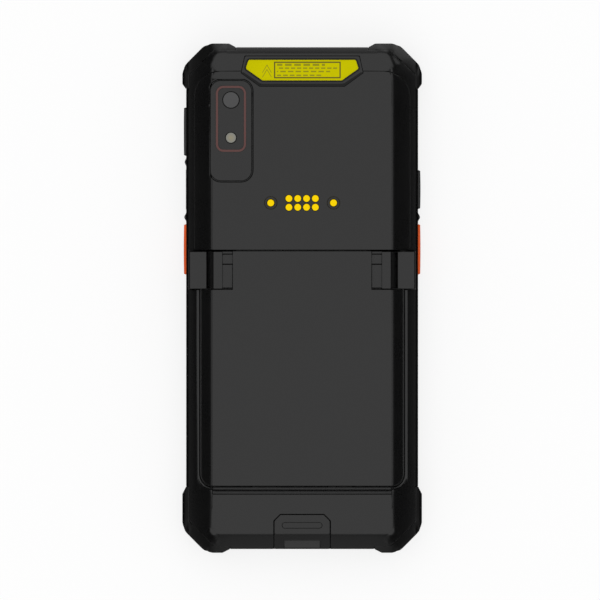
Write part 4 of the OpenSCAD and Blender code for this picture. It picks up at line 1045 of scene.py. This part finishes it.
def bezel_rings(inner, outward, bed, radius):
    """Closed rings of the label's surround: the bezel, and dark seal rings inside and outside it that paint
    the shade lines in the grooves round it. The outer seal slopes down from the bezel to the back, and is
    wide along the lower sides, where its band of painted shade is broader."""
    low, high, *_ = box_mm("label_bezel")
    outer = rounded_outline(corner_points("label_bezel", low[2]), radius)[0]
    # lower marks the lower sides, where the outer seal's band of painted shade is made wider
    lower = np.clip((71.2 - outer[:, 1:]) / 0.8, 0, 1)
    lip, drop = 0.08 + 0.75 * lower, 0.05 + 0.35 * lower
    rim, seat = outer - outward * lip, inner + outward * 0.5

    def rings(*rows):
        return np.stack([np.concatenate([plan, height + 0 * lip], 1) for plan, height in rows])

    bezel = rings((rim, low[2]), (rim, high[2]), (seat, high[2]), (seat, low[2]))
    inside = rings((inner, bed), (seat, bed), (seat, bed + 0.28), (inner, bed + 0.2))
    outside = rings((rim, low[2]), (outer, low[2]), (outer, high[2] - drop), (rim, high[2] - 0.01))
    return [bezel], [inside, outside]


def disc_rings(centre, radius, bottom, top, edge, crown=0.0):
    """Round button: a side, a rounded edge and a shallow dome carried round a circle."""
    profile = [(0, 0, 1), *round_edge(edge, top - bottom), *dome(edge, top - bottom, crown)]
    return placed(carried(*circle_outline(radius), profile), (centre[0], centre[1], bottom))


class TERMINAL_OT_camera(TerminalOperator):
    """Camera window, flash window and the red line round them"""

    bl_idname = "terminal.camera"
    bl_label = "Camera"

    def execute(self, context):
        for node, crown in (("camera_lens", 0.06), ("flash_lens", 0.04)):
            low, high, size, middle = box_mm(node)
            rings = disc_rings(middle, size[0] / 2, low[2], high[2] - crown, 0.1, crown)
            add_stand_in(node + "_window", [rings], node)
        low, high, size, middle = box_mm("camera_trim")
        line_w, corner = 0.7, 2.05
        outline, outward = rounded_outline(rectangle(size[0] - line_w, size[1] - line_w), corner, 10)
        half = line_w / 2
        over = [(offset + half, height, share) for offset, height, share in round_edge(0.07, size[2], 3)]
        back = [(-offset, height, share) for offset, height, share in reversed(over)]
        rings = placed(carried(outline, outward, [(-half, 0, 1), (half, 0, 1), *over, *back]),
                       (middle[0], middle[1], low[2]))
        add_stand_in("camera_line", [rings], "camera_trim", closed_rows=True)
        return {"FINISHED"}


class TERMINAL_OT_contacts(TerminalOperator):
    """Eight gold contact pads and the two locating contacts"""

    bl_idname = "terminal.contacts"
    bl_label = "Contacts"

    def execute(self, context):
        low, high, *_ = box_mm("contact_pins")
        radius, crown = 1.1, 0.02
        xs = np.linspace(low[0] + radius, high[0] - radius, 4)
        ys = (low[1] + radius, high[1] - radius)
        pads = [disc_rings((x, y), radius, low[2], high[2] - crown, 0.12, crown) for x in xs for y in ys]
        add_stand_in("contact_pads", pads, "contact_pins")
        low, high, size, middle = box_mm("locating_contacts")
        radius = size[1] / 2
        pads = [disc_rings((x, middle[1]), radius, low[2], high[2], 0.15)
                for x in (low[0] + radius, high[0] - radius)]
        add_stand_in("locating_pads", pads, "locating_contacts")
        return {"FINISHED"}


class TERMINAL_OT_windows(TerminalOperator):
    """Scan window in the head end and the cover glass over the screen"""

    bl_idname = "terminal.windows"
    bl_label = "Windows"

    def execute(self, context):
        low, high, size, middle = box_mm("scan_window")
        outline, outward = rounded_outline(rectangle(size[0], size[2]), 1.0)
        depth, edge = size[1], 0.12
        profile = [(0, 0, 1), *round_edge(edge, depth), (-0.5, depth, 1), (-0.62, depth - edge, 1)]
        rings = placed(carried(outline, outward, profile), (middle[0], low[1], middle[2]), *STANDING)
        add_stand_in("scan_window_pane", [rings], "scan_window")

        low, high, size, middle = box_mm("cover_glass")
        outline, outward = rounded_outline(rectangle(size[0], size[1]), 7.0, 14)
        angle = np.linspace(0, np.pi / 2, 6)
        curve = [(0.7 * (math.cos(a) - 1), size[2] + 0.25 * (math.sin(a) - 1), 1) for a in angle]
        face_down = ((1, 0, 0), (0, -1, 0), (0, 0, -1))
        rings = placed(carried(outline, outward, [(0, 0, 1), *curve]), (0, 0, high[2]), *face_down)
        add_stand_in("cover_glass_pane", [rings], "cover_glass")
        return {"FINISHED"}


class TERMINAL_OT_inner_parts(TerminalOperator):
    """Finishes on the frame's own parts that keep their shape"""

    bl_idname = "terminal.inner_parts"
    bl_label = "Inner parts"

    def execute(self, context):
        gauze = mesh_finish()
        for node, part in frame["nodes"].items():
            if not part.hide_render:
                part.data.materials[0] = gauze if node == "earpiece_mesh" else finish(slot_of(node))
        return {"FINISHED"}


# ---- stage ----


def studio_world(stage):
    """Plain even light from all round, which is also the white behind the terminal."""
    w = Wiring(bpy.data.worlds.new("Studio"))
    light = w.node("ShaderNodeBackground", inputs={"Color": WHITE, "Strength": stage.sky})
    bpy.context.scene.world = w.surface(light, "ShaderNodeOutputWorld")


def floor_finish(stage):
    """White floor that keeps a faint shadow: mostly plain white where it is seen, and white paint to the
    light."""
    f = Wiring(bpy.data.materials.new("Floor white"))
    paint = f.node("ShaderNodeBsdfDiffuse", inputs={"Color": (0.95, 0.95, 0.95, 1)})
    glow = f.node("ShaderNodeEmission", inputs={"Color": WHITE, "Strength": 1.0})
    plain = f.seen() * (1 - stage.floor_paint)
    return f.surface(f.node("ShaderNodeMixShader", inputs={0: plain, 1: paint, 2: glow}))


def card_finish():
    """Grey cards that shine as their mesh's radiance attribute says."""
    f = Wiring(bpy.data.materials.new("Reflector cards"))
    f.owner.cycles.emission_sampling = "NONE"
    level = f.node("ShaderNodeAttribute", {"attribute_name": "radiance"}, output="Fac")
    return f.surface(f.node("ShaderNodeEmission", inputs={"Color": WHITE, "Strength": level}))


def card_levels(outward, height, stage):
    """Radiance of the cards by the way they lie and their height in millimetres: black at the floor, a
    glowing band above it, then a card off each end and black off the sides, and plain sky on top."""
    turn = np.degrees(np.arctan2(outward[:, 1], outward[:, 0])) % 360
    side, corner, head, foot = stage.side_glow, stage.corner_glow, stage.head_glow, stage.foot_glow
    head_card, foot_card = stage.head_card, stage.foot_card
    glow = np.interp(
        turn, (0, 12, 26, 98, 116, 160, 180, 200, 258, 266, 274, 282, 340, 360),
        (side, side, head, head, corner, corner, side, corner, corner, foot, foot, corner, corner, side))
    ceiling = np.interp(turn, (0, 12, 26, 75, 88, 92, 116, 180, 258, 266, 274, 282, 360),
                        (9.5, 9.5, 17, 17, 15, 15, 8.5, 9.5, 8.5, 14, 14, 8.5, 9.5))
    card = np.interp(turn, (0, 62, 80, 100, 118, 258, 266, 274, 282, 360),
                     (0, 0, head_card, head_card, 0, 0, foot_card, foot_card, 0, 0))
    height = height[:, None]
    lit = np.clip((height - stage.glow_start / MM) / 1.5, 0, 1)
    over = np.clip((height - ceiling + 0.8) / 1.6, 0, 1)
    sky = np.clip((height - 30) / 90, 0, 1)
    return lit * glow * (1 - over) + card * over * (1 - sky) + sky * stage.sky


def card_bowl(stage):
    """Cone round the terminal: an oblong outline that lies just outside it on the floor and moves
    outwards by 1 mm for each 0.87 mm that it rises."""
    outline, outward = rounded_outline(rectangle(77.0, 162.0), 15.0, 24)
    height = np.concatenate([np.arange(0.05, 20, 0.5), np.geomspace(20, 500, 24)])
    rings = carried(outline, outward, [(h / 0.87, h, 1) for h in height])
    mesh = bpy.data.meshes.new("reflector_cards")
    mesh.from_pydata((rings.reshape(-1, 3) * MM).tolist(), [], grid_faces(*rings.shape[:2]).tolist())
    level = mesh.attributes.new("radiance", "FLOAT", "POINT")
    level.data.foreach_set("value", card_levels(outward, height, stage).ravel())
    mesh.shade_smooth()
    return mesh


class TERMINAL_OT_stage(TerminalOperator):
    """Floor, reflector cards, light and camera"""

    bl_idname = "terminal.stage"
    bl_label = "Stage"

    def execute(self, context):
        scene, stage = context.scene, context.scene.terminal_stage
        reach, under = 3.0, -0.0001
        mesh = bpy.data.meshes.new("floor")
        corners = [(x, y, under) for x, y in rectangle(2 * reach, 2 * reach)]
        mesh.from_pydata(corners, [], [(0, 1, 2, 3)])
        floor = add_object("floor", mesh, floor_finish(stage))
        cards = add_object("reflector_cards", card_bowl(stage), card_finish())
        for ray in ("camera", "diffuse", "transmission", "shadow"):
            setattr(cards, "visible_" + ray, False)
        studio_world(stage)

        view_centre = Vector((-0.67 * MM, -0.57 * MM, 10 * MM))
        lens = bpy.data.cameras.new("camera")
        lens.lens = stage.lens
        lens.dof.use_dof = False
        camera = bpy.data.objects.new("camera", lens)
        distance = stage.view_width * lens.lens / lens.sensor_width
        camera.location = view_centre + Vector((0, 0, distance))
        lens.clip_end = distance * 3
        scene.collection.objects.link(camera)
        scene.camera = camera
        scene.view_settings.view_transform = "Standard"
        return {"FINISHED"}


class TERMINAL_PT_sidebar(bpy.types.Panel):
    """Lists the terminal's operators and its sizes and colours"""

    bl_idname = "TERMINAL_PT_sidebar"
    bl_label = "Data terminal"
    bl_space_type = "VIEW_3D"
    bl_region_type = "UI"
    bl_category = "Terminal"

    def draw(self, context):
        for operator in OPERATORS:
            self.layout.operator(operator.bl_idname)
        for settings in (getattr(context.scene, name) for name in GROUPS):
            column = self.layout.column(align=True)
            for name in settings.__annotations__:
                column.prop(settings, name)


OPERATORS = (
    TERMINAL_OT_stage,
    TERMINAL_OT_shells,
    TERMINAL_OT_bumpers,
    TERMINAL_OT_latches,
    TERMINAL_OT_port_cover,
    TERMINAL_OT_side_keys,
    TERMINAL_OT_label,
    TERMINAL_OT_camera,
    TERMINAL_OT_contacts,
    TERMINAL_OT_windows,
    TERMINAL_OT_inner_parts,
)
GROUPS = {
    "terminal_sizes": TerminalSizes,
    "terminal_colours": TerminalColours,
    "terminal_stage": TerminalStage,
}


def register():
    """Registers the classes and puts the settings on the scene."""
    for cls in (*GROUPS.values(), *OPERATORS, TERMINAL_PT_sidebar):
        bpy.utils.register_class(cls)
    for name, group in GROUPS.items():
        setattr(bpy.types.Scene, name, PointerProperty(type=group))


def unregister():
    """Takes the settings and the classes away again."""
    for name in GROUPS:
        delattr(bpy.types.Scene, name)
    for cls in (TERMINAL_PT_sidebar, *reversed(OPERATORS), *GROUPS.values()):
        bpy.utils.unregister_class(cls)


def main():
    """Makes every piece in order."""
    register()
    for operator in OPERATORS:
        category, name = operator.bl_idname.split(".")
        getattr(getattr(bpy.ops, category), name)()


if __name__ == "__main__":
    main()
